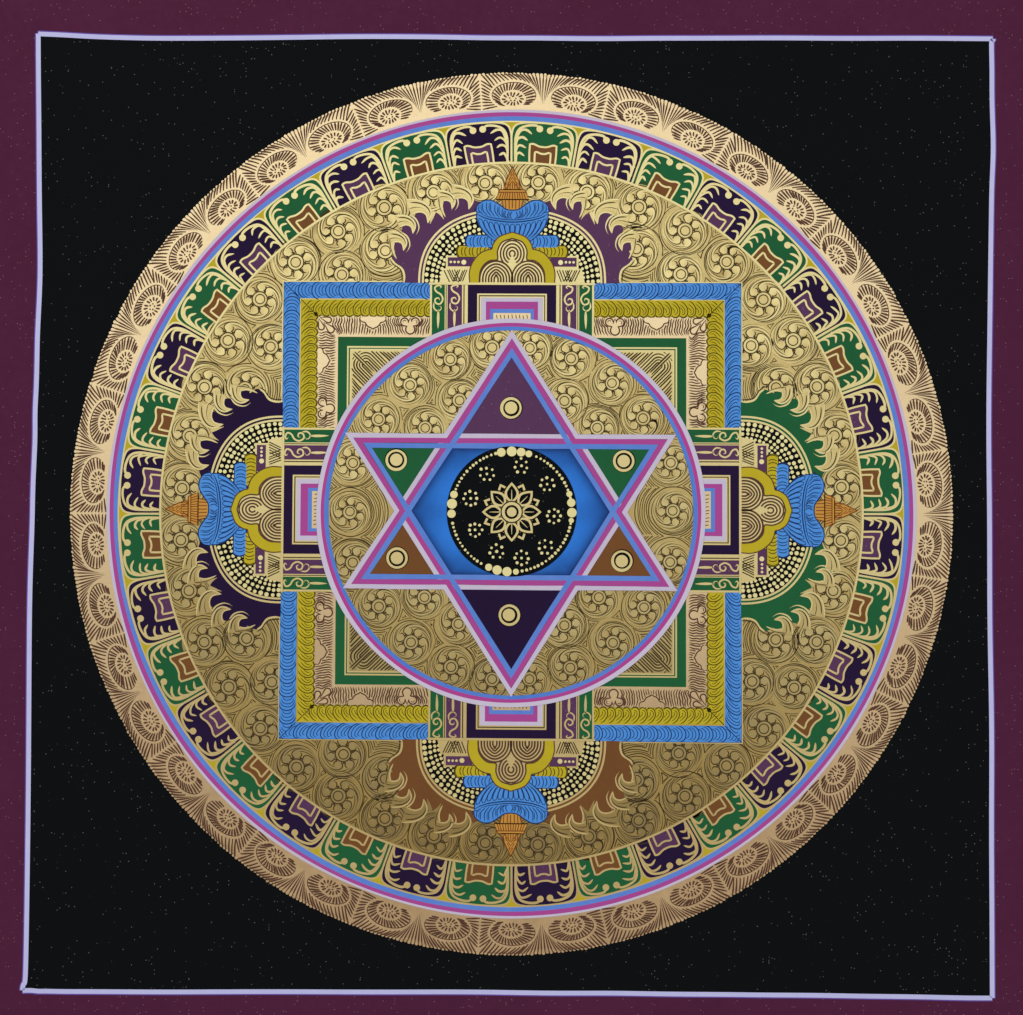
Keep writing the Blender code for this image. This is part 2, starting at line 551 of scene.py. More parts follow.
class Coat:
    """One paint on one part of the picture, gathered as flat grids and made one mesh."""

    made: list[bpy.types.Object] = []

    def __init__(self, name: str, paint: Paint, seed: int, warp: Callable[[Array], Array]) -> None:
        """Starts an empty coat with its own seeded brush loads and the slip of its drawing."""
        self.name = name
        self.warp = warp
        self.paint = paint
        self.rng = np.random.default_rng(seed + 977)
        self.points: list[Array] = []
        self.heights: list[Array] = []
        self.tones: list[Array] = []
        self.quads: list[Array] = []
        self.fans: list[Array] = []
        self.count = 0

    def _keep(self, points: Array, layer: float, tone: Array) -> int:
        """Keeps (grids, points, 2) points with their height and tone, and returns the first index."""
        start = self.count
        nudge = 0.2 * COAT_STEP * (np.arange(len(points)) % 3)
        self.heights.append(np.repeat(layer * COAT_STEP + nudge, points.shape[1]))
        self.tones.append(np.broadcast_to(tone, points.shape[:2]).ravel())
        self.points.append(self.warp(points.reshape(-1, 2)))
        self.count += points.shape[0] * points.shape[1]
        return start

    def _tone(self, grids: int, spread: float, tone: Array | None) -> Array:
        """One brush load for each grid, or the tones given for its points."""
        return self.rng.normal(0.0, spread, (grids, 1)) if tone is None else tone

    def lay(self, grids: Array, layer: float, spread: float = 0.07, tone: Array | None = None,
            closed: bool = False, keep: Array | None = None) -> None:
        """Lays grids of quads.

        Args:
            grids: (grids, along, across, 2) points.
            layer: which coat from the cloth up.
            spread: how far the load varies from one grid to the next.
            tone: (grids, along * across) tones, instead of one for each grid.
            closed: joins the last row along to the first.
            keep: (grids, along) which rows are laid; a quad needs both of its rows.
        """
        grids = np.asarray(grids, float)
        grids = grids[None] if grids.ndim == 3 else grids
        n, m, k, _ = grids.shape
        start = self._keep(grids.reshape(n, m * k, 2), layer, self._tone(n, spread, tone))
        row = np.arange(m if closed else m - 1)
        a = (row[:, None] * k + np.arange(k - 1)).ravel()
        b = (((row + 1) % m)[:, None] * k + np.arange(k - 1)).ravel()
        cell = np.stack([a, a + 1, b + 1, b], -1)
        cells = (start + np.arange(n) * m * k)[:, None, None] + cell[None]
        if keep is not None:
            both = np.asarray(keep)[:, row] & np.asarray(keep)[:, (row + 1) % m]
            cells = cells[np.repeat(both, k - 1, axis=1)]
        self.quads.append(cells.reshape(-1, 4))

    def fill(self, outlines: Array, layer: float, centres: Array | None = None, spread: float = 0.07) -> None:
        """Fills closed outlines that their centre sees all round.

        Args:
            outlines: (shapes, points, 2) outlines without a repeated first point.
            layer: which coat from the cloth up.
            centres: (shapes, 2) centres, or None for each outline's mean.
            spread: how far the load varies from one shape to the next.
        """
        outlines = np.asarray(outlines, float)
        outlines = outlines[None] if outlines.ndim == 2 else outlines
        n, m = outlines.shape[:2]
        middle = outlines.mean(1, keepdims=True) if centres is None else np.asarray(centres, float).reshape(n, 1, 2)
        start = self._keep(np.concatenate([middle, outlines], 1), layer, self._tone(n, spread, None))
        rim = np.arange(m)
        cell = np.stack([np.zeros(m, int), 1 + rim, 1 + (rim + 1) % m], -1)
        offset = start + np.arange(n) * (m + 1)
        self.fans.append((offset[:, None, None] + cell[None]).reshape(-1, 3))

    def dots(self, centres: Array, radius: float | Array, layer: float, sides: int = 8) -> None:
        """Fills round dots.

        Args:
            centres: (dots, 2) centres.
            radius: one radius or one for each dot.
            layer: which coat from the cloth up.
            sides: corners of each dot.
        """
        centres = np.asarray(centres, float).reshape(-1, 2)
        radius = np.broadcast_to(np.asarray(radius, float), (len(centres),))
        rims = ring(1.0, sides)[None] * radius[:, None, None] + centres[:, None]
        self.fill(rims, layer, centres)

    def piece(self) -> bpy.types.Object | None:
        """Makes the coat's object, riding on the root body.

        Returns:
            The object, or None where nothing was laid.
        """
        if not self.quads and not self.fans:
            return None
        quads = np.concatenate(self.quads) if self.quads else np.zeros((0, 4), int)
        fans = np.concatenate(self.fans) if self.fans else np.zeros((0, 3), int)
        used = np.unique(np.concatenate([quads.ravel(), fans.ravel()]))
        place = np.zeros(self.count, int)
        place[used] = np.arange(len(used))
        quads, fans = place[quads], place[fans]
        flat_points = np.concatenate(self.points)[used]
        x, y = flat_points.T
        points = np.stack([x, y, CLOTH.face(x, y) + np.concatenate(self.heights)[used]], -1)
        for faces in (quads, fans):
            corner = flat_points[faces]
            across, along = corner[:, 2] - corner[:, 0], corner[:, -1] - corner[:, 1]
            if faces.shape[1] == 3:
                across, along = corner[:, 1] - corner[:, 0], corner[:, 2] - corner[:, 0]
            down = across[:, 0] * along[:, 1] - across[:, 1] * along[:, 0] < 0
            faces[down] = faces[down, ::-1]
        mesh = bpy.data.meshes.new(self.name)
        mesh.vertices.add(len(points))
        mesh.vertices.foreach_set("co", (points * MM).astype(np.float32).ravel())
        corners = np.concatenate([quads.ravel(), fans.ravel()]).astype(np.int32)
        mesh.loops.add(len(corners))
        mesh.loops.foreach_set("vertex_index", corners)
        sizes = np.concatenate([np.full(len(quads), 4), np.full(len(fans), 3)]).astype(np.int32)
        mesh.polygons.add(len(sizes))
        mesh.polygons.foreach_set("loop_start", np.concatenate([[0], np.cumsum(sizes)[:-1]]).astype(np.int32))
        mesh.update(calc_edges=True)
        mesh.attributes.new("tone", "FLOAT", "POINT").data.foreach_set(
            "value", np.concatenate(self.tones)[used].astype(np.float32))
        plan = mesh.uv_layers.new(name="OFBake")
        plan.uv.foreach_set("vector", (flat_points[corners] / CLOTH.side + 0.5).astype(np.float32).ravel())
        mesh.materials.append(self.paint.material())
        mesh.shade_smooth()
        piece = bpy.data.objects.new(self.name, mesh)
        bpy.context.scene.collection.objects.link(piece)
        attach(piece, "root")
        Coat.made.append(piece)
        LOG.info("%s: %d faces of %s", self.name, len(sizes), self.paint.name)
        return piece


@dataclass
class Part:
    """A part of the picture, which keeps one coat for each paint that it uses.

    Attributes:
        title: start of the names of its pieces.
        seed: where its hand and its brush loads start.
    """

    title: str = "part"
    seed: int = 1
    coats: dict[str, Coat] = field(default_factory=dict)
    warp: Callable[[Array], Array] = lambda points: points

    def coat(self, paint: Paint) -> Coat:
        """The part's coat of one paint."""
        if paint.name not in self.coats:
            self.coats[paint.name] = Coat(f"{self.title}_{paint.name}", paint, self.seed, self.warp)
        return self.coats[paint.name]

    def stroke(self, paint: Paint, paths: Array, width: float | Array, layer: float, tip: Tip = Tip.ROUND,
               closed: bool = False, keep: Array | None = None) -> None:
        """Lays brush strokes of one paint: ribbon along each path."""
        self.coat(paint).lay(ribbon(paths, width, tip), layer, closed=closed, keep=keep)

    def dots(self, paint: Paint, centres: Array, radius: float | Array, layer: float, sides: int = 8) -> None:
        """Lays round dots of one paint."""
        self.coat(paint).dots(centres, radius, layer, sides)

    def draw(self) -> None:
        """Lays the part's coats. Each part has its own."""
        raise NotImplementedError

    def build(self) -> None:
        """Draws the part and makes its pieces."""
        self.hand = Hand(self.seed)
        self.draw()
        for coat in self.coats.values():
            coat.piece()


class CanvasSheet:
    """The cotton itself: face, underside and cut edge as one closed sheet."""

    def build(self) -> bpy.types.Object:
        """Makes the sheet: two grids of the same plan, face and underside, and a wall round them.

        Returns:
            The sheet, which stands for the CAD node.
        """
        side = np.linspace(-CLOTH.side / 2, CLOTH.side / 2, CLOTH.cells + 1)
        x, y = (v.ravel() for v in np.meshgrid(side, side))
        low = CLOTH.lift(x, y)
        points = np.concatenate([np.stack([x, y, low + CLOTH.thickness], -1), np.stack([x, y, low], -1)])
        n = CLOTH.cells + 1
        at = (np.arange(CLOTH.cells)[:, None] * n + np.arange(CLOTH.cells)).ravel()
        face = np.stack([at, at + 1, at + 1 + n, at + n], -1)
        rim = np.concatenate([np.arange(n - 1), np.arange(n - 1) * n + n - 1,
                              n * n - 1 - np.arange(n - 1), (n - 1 - np.arange(n - 1)) * n])
        after = np.roll(rim, -1)
        wall = np.stack([rim + n * n, after + n * n, after, rim], -1)
        mesh = bpy.data.meshes.new("canvas_cloth")
        mesh.from_pydata((points * MM).tolist(), [], np.concatenate([face, face[:, ::-1] + n * n, wall]).tolist())
        mesh.materials.append(COTTON.material())
        mesh.shade_smooth()
        mesh.set_sharp_from_angle(angle=math.radians(50.0))
        sheet = bpy.data.objects.new("canvas_cloth", mesh)
        bpy.context.scene.collection.objects.link(sheet)
        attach(sheet, "root")
        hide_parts("canvas")
        LOG.info("canvas_cloth: %d faces", len(mesh.polygons))
        return sheet


@dataclass
class Border(Part):
    """The plum border, the hand-ruled pale line inside it and the black field.

    Attributes:
        line_width: width of the pale line.
        ruled: the line's middle, a short table of places from the top left corner clockwise.
        corners: which rows of that table are corners.
    """

    title: str = "border"
    line_width: float = 2.3
    ruled: tuple[tuple[float, float], ...] = (
        (-236.2, 239.8), (-180.7, 237.7), (-65.7, 238.7), (19.2, 237.7), (124.2, 237.9), (240.6, 237.4),
        (239.8, 231.0), (240.6, 185.0), (239.5, 127.0), (238.6, 10.0), (240.0, -123.0), (240.2, -241.8),
        (124.2, -240.4), (-5.7, -239.1), (-205.7, -238.7), (-244.2, -238.0),
        (-242.4, -212.0), (-240.7, -43.0), (-238.6, 25.5), (-237.6, 67.0), (-235.8, 132.0), (-236.2, 239.8),
    )
    corners: tuple[int, ...] = (0, 5, 11, 15, 21)

    def draw(self) -> None:
        """Lays the border, the field and the pale line, each side of which is a smooth curve."""
        half = CLOTH.side / 2
        table = np.array(self.ruled)
        sides = [smooth(table[a : b + 1], 120)[0] for a, b in zip(self.corners, self.corners[1:])]
        loop = np.concatenate([side[:-1] for side in sides])
        edges = np.array([[-half, half], [half, half], [half, -half], [-half, -half], [-half, half]])
        rim = np.concatenate([np.linspace(a, b, 120)[:-1] for a, b in zip(edges, edges[1:])])
        self.coat(PLUM).lay(between(loop * 0.995, rim, 8), 1, closed=True)
        self.coat(LAMP_BLACK).lay(between(loop * 0.55, loop, 24), 2, closed=True)
        for side in sides:
            path = self.hand.waver(side, 0.16, 9)
            self.coat(VIOLET).lay(ribbon(path * 1.0012, self.line_width + 0.5, Tip.EVEN), 3)
            self.coat(LILAC).lay(ribbon(path, self.line_width, Tip.EVEN), 4)


@dataclass(frozen=True)
class Rosette:
    """The engraved flower of the gold grounds: a ringed boss and comma petals that sweep clockwise.

    Attributes:
        petals: how many comma petals stand round the boss.
        radius: how far the petals' tails reach.
        crease: angle in degrees and radius along the line between two petals.
        head: the same for the near side of a petal's round head.
        vein: the same for the line inside its tail.
    """

    petals: int = 7
    radius: float = 12.4
    crease: tuple[tuple[float, float], ...] = (
        (-12, 4.3), (-21, 5.4), (-23, 6.9), (-13, 8.3), (5, 9.3), (31, 10.2), (58, 11.0), (84, 11.7))
    head: tuple[tuple[float, float], ...] = ((12, 4.5), (19, 5.4), (20, 6.7), (12, 7.7))
    vein: tuple[tuple[float, float], ...] = ((3, 8.0), (15, 8.4), (36, 9.1), (58, 9.9), (78, 10.7))

    def around(self, rows: Array, petals: Array, grow: Array, centres: Array) -> Array:
        """Carries a line, given by angle and radius, round every flower.

        Args:
            rows: (points, 2) angles in degrees and radii.
            petals: (flowers, petals) angles in radians.
            grow: size of each flower.
            centres: (flowers, 2) middles.

        Returns:
            (flowers * petals, points, 2) lines.
        """
        angle = np.radians(rows[:, 0]) + petals[..., None]
        lines = polar(angle, rows[:, 1] + 0 * angle) * grow[:, None, None, None] + centres[:, None, None]
        return lines.reshape(-1, len(rows), 2)

    def lay(self, part: "Part", centres: Array, scale: float, layer: float) -> None:
        """Lays flowers on a gold ground: shaded petals, their lines and the boss.

        A petal is pale at its crease and darkens with the square of the way to the next one.

        Args:
            part: the part of the picture that the flowers belong to.
            centres: (flowers, 2) middles.
            scale: size of the flowers.
            layer: first free coat on the ground.
        """
        rng, n, centres = part.hand.rng, len(centres), np.asarray(centres, float)
        pitch = 2 * np.pi / self.petals
        petals = np.arange(self.petals) * pitch + rng.uniform(0.0, 2 * np.pi, (n, 1))
        petals = petals + rng.normal(0.0, 0.05, petals.shape)
        grow = scale * rng.normal(1.0, 0.02, n)
        rows = smooth(np.array(self.crease, float), 15)[0]
        share = np.linspace(0.0, 1.0, 6)
        sheets = [self.around(rows + [np.degrees(pitch) * s, 0.0], petals, grow, centres) for s in share]
        depth = 0.62 * share[None] ** 2 - 0.14 + 0.12 * (rows[:, 1:] / self.radius) ** 4
        tone = depth.ravel()[None] + rng.normal(0.0, 0.07, (n * self.petals, 1))
        part.coat(GOLD).lay(np.stack(sheets, 2), layer, tone=tone)
        for table, count, width, tip, slip in ((self.crease, 19, 0.68, Tip.COMMA, 0.07),
                                               (self.head, 7, 0.6, Tip.ROUND, 0.05),
                                               (self.vein, 9, 0.42, Tip.LEAF, 0.08)):
            lines = self.around(smooth(np.array(table, float), count)[0], petals, grow, centres)
            part.stroke(UMBER, part.hand.slip(lines, slip), width * scale, layer + 0.8, tip)
        knots = self.around(np.array([(np.degrees(pitch) / 2, 4.75)]), petals, grow, centres)[:, 0]
        part.dots(UMBER, knots, 0.62 * scale, layer + 1.4, 6)
        for radius, share in ((11.95, 0.62), (12.7, 0.45), (11.2, 0.35)):
            start = rng.uniform(0.0, 2 * np.pi, n)
            rim = arc(radius * grow, start, start + 2 * np.pi * share, 26) + centres[:, None]
            part.stroke(UMBER, rim, 0.52 * scale, layer + 1.4, Tip.LEAF)
        slip = rng.normal(0.0, 0.12, (n, 2))
        for paint, size, step, off in ((UMBER, 4.4, 2.0, 0), (GOLD, 3.75, 2.6, 0), (UMBER, 2.75, 3.2, 1), (GOLD, 2.2, 3.8, 1)):
            part.dots(paint, centres + slip * off, size * grow, layer + step, 20)

    def hatch(self, part: "Part", centres: Array, scale: float, layer: float, inside: Callable[[Array], Array]) -> None:
        """Fills the gaps between flowers with arcs that run round the nearest one.

        Args:
            part: the part of the picture that the flowers belong to.
            centres: (flowers, 2) middles.
            scale: size of the flowers.
            layer: the coat that the arcs lie on.
            inside: tells for (..., 2) points whether they lie on the ground to be filled.
        """
        centres, rng = np.asarray(centres, float), part.hand.rng
        reach = self.radius * scale + 0.5
        turn = np.linspace(0.0, 2 * np.pi, 110)
        for k, centre in enumerate(centres):
            radii = reach + np.arange(0.5, 7.5, 1.12) + rng.normal(0.0, 0.1, 7)
            uneven = 0.16 * np.sin(3 * turn + rng.uniform(0, 6, (7, 1))) + 0.1 * np.sin(8 * turn + rng.uniform(0, 6, (7, 1)))
            lines = polar(turn[None] + 0 * uneven, radii[:, None] + uneven) + centre
            away = np.linalg.norm(lines[:, :, None] - centres[None, None], axis=-1) - reach
            rest = np.delete(away, k, -1).min(-1)
            keep = (rest > away[..., k] - 0.1) & (rest > 0.3) & inside(lines)
            part.stroke(UMBER, lines, rng.uniform(0.3, 0.55, len(lines)), layer, Tip.EVEN, keep=keep)


@dataclass
class OuterRing(Part):
    """The broad gold ring of shells and ray strokes round the mandala.

    A half unit runs from a fan, u = 0, to a seam, and is mirrored in the fan. Dark strokes are
    ruled from the rim and the seam down to the shell, and in the shell from its rim to its coil.

    Attributes:
        inner: radius of its inner edge.
        depth: how far it reaches outwards.
        pairs: mirrored pairs of shells round the ring.
        first_fan: where the first fan stands, in degrees clockwise from the top.
        shell: middle and half axes of the shell in its half unit.
        coil: the same for the coil inside it.
        meets: where a stroke from the rim meets the shell: its u at the rim and the turn in degrees.
        rays: strokes that start at the rim in a half unit.
        rungs: strokes that start at the seam in a half unit.
    """

    title: str = "outer_ring"
    inner: float = 201.6
    depth: float = 19.0
    pairs: int = 21
    first_fan: float = 4.4
    shell: tuple[float, ...] = (15.0, 7.6, 11.9, 6.9)
    coil: tuple[float, ...] = (15.6, 6.1, 5.9, 4.1)
    meets: tuple[tuple[float, float], ...] = (
        (7.5, 12), (9, 26), (12, 52), (16, 75), (20, 96), (24, 116), (28, 137), (31.6, 154))
    rays: int = 17
    rungs: int = 9

    def draw(self) -> None:
        """Lays the gold ring, the round ends at its rim and the strokes of every half unit."""
        outer = self.inner + self.depth
        self.coat(ROSE_GOLD).lay(between(ring(self.inner - 1.0, 720), ring(outer - 1.1, 720), 3), 3, closed=True)
        half = np.pi / self.pairs
        self.reference = self.inner + 0.5 * self.depth
        self.width = half * self.reference
        fans = np.radians(self.first_fan) + 2 * half * np.arange(self.pairs)
        ends = np.radians(self.first_fan) + half / self.rays * np.arange(2 * self.rays * self.pairs)
        away = outer - 0.65 + self.hand.rng.normal(0.0, 0.14, len(ends))
        self.dots(ROSE_GOLD, polar(ends, away), self.hand.rng.normal(0.8, 0.06, len(ends)), 4, 9)
        for side in (1.0, -1.0):
            for fan in fans:
                self.half_unit(fan, side)

    def oval(self, turn: Array, oval: Array, grow: float) -> Array:
        """Points of an oval, turned from its fan side over its top, moved out by a distance."""
        u0, v0, a, b = oval
        return np.stack([u0 - (a + grow) * np.cos(turn), np.maximum(v0 + (b + grow) * np.sin(turn), 0.6)], -1)

    def half_unit(self, fan: float, side: float) -> None:
        """Lays the strokes of one half unit.

        Args:
            fan: where its fan stands, in radians.
            side: 1 for the half clockwise of the fan, -1 for the other.
        """
        rng = self.hand.rng
        shell = np.array(self.shell) * rng.normal(1.0, (0.012, 0.02, 0.015, 0.015))
        coil = np.array(self.coil) * rng.normal(1.0, (0.015, 0.03, 0.03, 0.03))
        u = (np.arange(self.rays) + 0.5) * self.width / self.rays
        high = np.stack([u, np.full(self.rays, self.depth - 0.4)], -1)
        over = self.oval(np.radians(np.interp(u, *zip(*self.meets))), shell, 0.75)
        low = np.where((u < 7.5)[:, None], np.stack([0.1 + 0.32 * u, 3.4 + 0.82 * u], -1), over)
        rays = smooth(np.stack([high, 0.5 * (high + low) + [0.0, 0.2], low], 1), 6)
        near = u < 10.5
        self.carve(rays[near], fan, side, rng.uniform(0.8, 1.0, near.sum()), Tip.COMMA)
        self.carve(rays[~near], fan, side, rng.uniform(0.95, 1.15, (~near).sum()), Tip.WEDGE)
        seam = np.stack([np.full(self.rungs, self.width - 0.45), np.linspace(15.6, 1.2, self.rungs)], -1)
        flank = self.oval(np.radians(np.linspace(151.0, 226.0, self.rungs)), shell, 0.75)
        self.carve(between(seam, flank, 4)[0], fan, side, rng.uniform(0.95, 1.15, self.rungs), Tip.WEDGE)
        turn = self.even(np.radians(-42.0), np.radians(222.0), shell, 23)
        ribs = between(self.oval(turn, shell, -0.6), self.oval(turn + 0.14, coil, 0.55), 4)[0]
        self.carve(ribs, fan, side, rng.uniform(1.0, 1.3, len(ribs)), Tip.WEDGE)
        rim = self.oval(np.radians(np.linspace(-25.0, 205.0, 26)), shell, -0.62)[None]
        self.carve(rim, fan, side, np.array([0.42]), Tip.ROUND)
        turn = self.even(np.radians(-80.0), np.radians(258.0), coil, 14)
        dashes = between(self.oval(turn, coil, -0.5), self.oval(turn + 0.1, coil, -2.5), 4)[0]
        self.carve(dashes, fan, side, rng.uniform(1.0, 1.25, len(dashes)), Tip.WEDGE)
        turn = np.radians(np.array([0.0, 75.0, 140.0, 215.0, 285.0])) + rng.uniform(0.0, 1.2)
        knots = np.stack([self.oval(turn + d, (coil[0], coil[1], 1.7, 1.15), 0.0) for d in (-0.4, 0.0, 0.4)], 1)
        self.carve(knots, fan, side, np.full(5, 0.9), Tip.ROUND)

    def even(self, start: float, end: float, oval: Array, count: int) -> Array:
        """Turns from start to end that are evenly spaced along an oval."""
        turn = np.linspace(start, end, 90)
        pace = np.hypot(oval[2] * np.sin(turn), oval[3] * np.cos(turn))
        way = np.concatenate([[0.0], np.cumsum(0.5 * (pace[1:] + pace[:-1]))])
        return np.interp(np.linspace(0.0, way[-1], count), way, turn)

    def carve(self, lines: Array, fan: float, side: float, width: Array, tip: Tip) -> None:
        """Lays dark strokes of one half unit in their place on the ring."""
        lines = self.hand.slip(lines, 0.07) * np.array([side, 1.0])
        self.stroke(SEPIA, bend(lines, [fan], self.inner, self.reference)[0], width, 5, tip)


@dataclass
class RingStripes(Part):
    """The pale, magenta and blue stripes inside the gold ring."""

    title: str = "ring_stripes"
    radii: tuple[float, ...] = (202.3, 201.0, 199.0, 196.7, 196.1)

    def draw(self) -> None:
        """Lays one closed band for each stripe, each edge wavering a little."""
        edges = [self.hand.waver(ring(r, 480), 0.18, 11) for r in self.radii]
        for paint, outer, inner in zip((PEARL, MAGENTA, CORNFLOWER, GOLD_LINE), edges, edges[1:]):
            self.coat(paint).lay(between(inner, outer), 7.9, closed=True)


@dataclass
class PetalRing(Part):
    """The ring of broad lotus petals, in turn dark and green, each with hooked gold leaves.

    Attributes:
        inner: radius at the petals' foot.
        outer: radius of the blue stripe over them.
        petals: petals in the ring.
        shell: the left half of a petal's outline, across and outwards.
        band: the gold band inside it, which ends in a bulb.
        leaves: root, bends and tip of the hooked leaves on the left of a petal.
        panel: the left half of the panel at its foot.
    """

    title: str = "petals"
    inner: float = 175.5
    outer: float = 196.4
    petals: int = 36
    shell: tuple[tuple[float, float], ...] = (
        (-16.2, -0.2), (-16.2, 8.0), (-16.0, 14.8), (-14.3, 18.9), (-9.5, 20.4), (0.0, 20.7))
    band: tuple[tuple[float, float], ...] = (
        (-14.1, -0.2), (-14.3, 7.0), (-14.0, 13.2), (-12.2, 17.1), (-8.6, 18.8), (-4.6, 19.1), (-2.6, 18.0))
    leaves: tuple[tuple[float, ...], ...] = (
        (-13.8, 11.6, -11.9, 16.0, -8.9, 16.6, -6.2, 14.8),
        (-14.2, 7.8, -12.9, 11.9, -10.5, 13.0, -7.9, 11.4),
        (-14.2, 4.0, -13.1, 8.0, -11.4, 9.2, -8.9, 7.9),
        (-14.1, 0.2, -13.2, 3.9, -11.9, 5.2, -9.5, 4.0))
    panel: tuple[tuple[float, float], ...] = (
        (-6.8, -0.2), (-6.9, 5.0), (-6.7, 9.7), (-4.8, 9.8), (-2.2, 8.8), (0.0, 8.6))

    def draw(self) -> None:
        """Lays the mustard ground, then each petal's fill, outlines, leaves and foot panel."""
        self.reference = 0.5 * (self.inner + self.outer)
        self.coat(MUSTARD).lay(between(ring(self.inner, 360), ring(self.outer, 360), 2), 4, closed=True)
        for k in range(self.petals):
            self.petal(np.radians(5.0 + 10.0 * k), k % 2)

    def place(self, points: Array, angle: float) -> Array:
        """Bends a petal's own points into their place on the ring."""
        return bend(points, [angle], self.inner, self.reference)[0]

    def petal(self, angle: float, odd: int) -> None:
        """Lays one petal.

        Args:
            angle: where it stands, in radians clockwise from the top.
            odd: 1 for a dark petal with a mauve panel, 0 for a green one with an earth panel.
        """
        ground, panel = (AUBERGINE, MAUVE) if odd else (GREEN, EARTH)
        rng = self.hand.rng
        shell = smooth(np.array(self.shell), 22)[0]
        shell = np.concatenate([shell, (shell * [-1, 1])[-2::-1]]) + rng.normal(0, 0.08, 2)
        self.coat(ground).lay(between(self.place(shell * [1.0, 0.0], angle), self.place(shell, angle), 3), 5, spread=0.04)
        self.stroke(GOLD_LINE, self.place(shell, angle), 0.95, 6 + 0.7 * odd, Tip.EVEN)
        bands = self.hand.slip(mirrored(smooth(np.array(self.band), 24)), 0.1)
        self.stroke(GOLD_LINE, self.place(bands, angle), rng.uniform(1.1, 1.3, 2), 7.4, Tip.EVEN)
        bulbs = np.array([(-2.45, 17.3), (2.45, 17.3)]) + rng.normal(0, 0.12, (2, 2))
        self.dots(GOLD_LINE, self.place(bulbs, angle), 1.7, 8.2, 14)
        hooks = np.array(self.leaves).reshape(-1, 4, 2)
        hooks = np.concatenate([smooth(half + rng.normal(0, 0.22, half.shape), 10) for half in (hooks, hooks * [-1, 1])])
        self.stroke(GOLD_LINE, self.place(hooks, angle), rng.uniform(1.0, 1.3, len(hooks)), 9, Tip.HOOK)
        lean = rng.normal(0.0, 0.5, 2)
        for size, step in ((1.0, 10), (0.6, 12)):
            half = np.array(self.panel) * size
            top = np.concatenate([half, (half * [-1, 1])[-2::-1]])
            line = np.concatenate([smooth(top[:3], 6)[0], smooth(top[2:9], 20)[0][1:-1], smooth(top[8:], 6)[0]])
            line = line + np.stack([lean[0] + lean[1] * 0.12 * line[:, 1], 0 * line[:, 1]], -1)
            foot = line * [1, 0]
            self.coat(panel).lay(between(self.place(foot, angle), self.place(line, angle), 2), step, spread=0.04)
            self.stroke(GOLD_LINE, self.place(line, angle), 0.95, step + 0.8, Tip.EVEN)


@dataclass
class FloralBand(Part):
    """The gold ground inside the petals, with two rows of engraved flowers and hatched gaps.

    Attributes:
        radius: radius of the gold ground.
        row_one: radius and pitch in degrees of the outer row.
        row_two: radius of the inner row.
        row_two_turns: where flowers of the inner row stand in each quarter, in degrees.
    """

    title: str = "floral_band"
    radius: float = 175.6
    row_one: tuple[float, float] = (165.6, 9.0)
    row_two: float = 146.6
    row_two_turns: tuple[float, ...] = (25.4, 35.0, 55.0, 64.6)

    def draw(self) -> None:
        """Lays the gold, the flowers, the hatching and the gold line at the petals' foot."""
        ground = between(ring(90.0, 240), ring(self.radius, 240), 8)
        self.coat(GOLD).lay(ground, 4, tone=np.full((1, 240 * 8), 0.3), closed=True)
        one = np.radians(np.arange(0.5, 40.0) * self.row_one[1])
        two = np.radians((np.array(self.row_two_turns)[None] + 90.0 * np.arange(4)[:, None]).ravel())
        centres = np.concatenate([polar(one, np.full(len(one), self.row_one[0])),
                                  polar(two, np.full(len(two), self.row_two))])
        centres += self.hand.rng.normal(0.0, 0.35, centres.shape)
        rosette = Rosette()
        rosette.hatch(self, centres, 0.97, 4.6, self.inside)
        rosette.lay(self, centres, 0.97, 5)
        self.stroke(GOLD_LINE, ring(self.radius, 361), 1.1, 18, Tip.EVEN, closed=True)

    def inside(self, points: Array) -> Array:
        """Whether points lie between the petals' foot and the palace wall."""
        far = np.linalg.norm(points, axis=-1)
        return (far < self.radius - 0.8) & (np.abs(points).max(-1) > 112.0)


@dataclass
class InnerCircle(Part):
    """The round field round the star: gold with engraved flowers, inside three stripes.

    Attributes:
        centre: its middle.
        radii: edges of the stripes from outside in.
        quarter: flowers of the upper left quarter.
        flank: flowers of the left flank.
    """

    title: str = "inner_circle"
    centre: tuple[float, float] = (-0.25, 0.5)
    radii: tuple[float, ...] = (97.3, 95.1, 93.2, 91.3)
    quarter: tuple[tuple[float, float], ...] = (
        (-50.2, 65.0), (-30.2, 77.5), (-65.8, 47.5), (-9.4, 83.0), (-26.4, 56.5), (-43.4, 43.0))
    flank: tuple[tuple[float, float], ...] = ((-79.0, 25.6), (-80.5, 0.8), (-79.0, -24.0))
    flower_size: float = 0.9

    def draw(self) -> None:
        """Lays the ground, its flowers and the stripes."""
        ground = between(ring(0.5, 180, self.centre), ring(94.0, 180, self.centre), 8)
        self.coat(GOLD).lay(ground, 20, tone=np.full((1, 180 * 8), 0.3), closed=True)
        left = np.array(self.quarter)
        four = np.concatenate([left, left * [-1, 1], left * [1, -1] + [0, 1.0], left * [-1, -1] + [0, 1.0]])
        centres = np.concatenate([four, mirrored(np.array(self.flank))])
        centres += self.hand.rng.normal(0.0, 0.3, centres.shape)
        rosette = Rosette()
        rosette.hatch(self, centres, self.flower_size, 20.6, self.inside)
        rosette.lay(self, centres, self.flower_size, 21)
        edges = [self.hand.waver(ring(r, 360, self.centre), 0.15, 9) for r in self.radii]
        for paint, outer, inner in zip((PEARL, MAGENTA, CORNFLOWER), edges, edges[1:]):
            self.coat(paint).lay(between(inner, outer), 29, closed=True)

    def inside(self, points: Array) -> Array:
        """Whether points lie inside the stripes."""
        return np.linalg.norm(points - np.array(self.centre), axis=-1) < self.radii[-1]


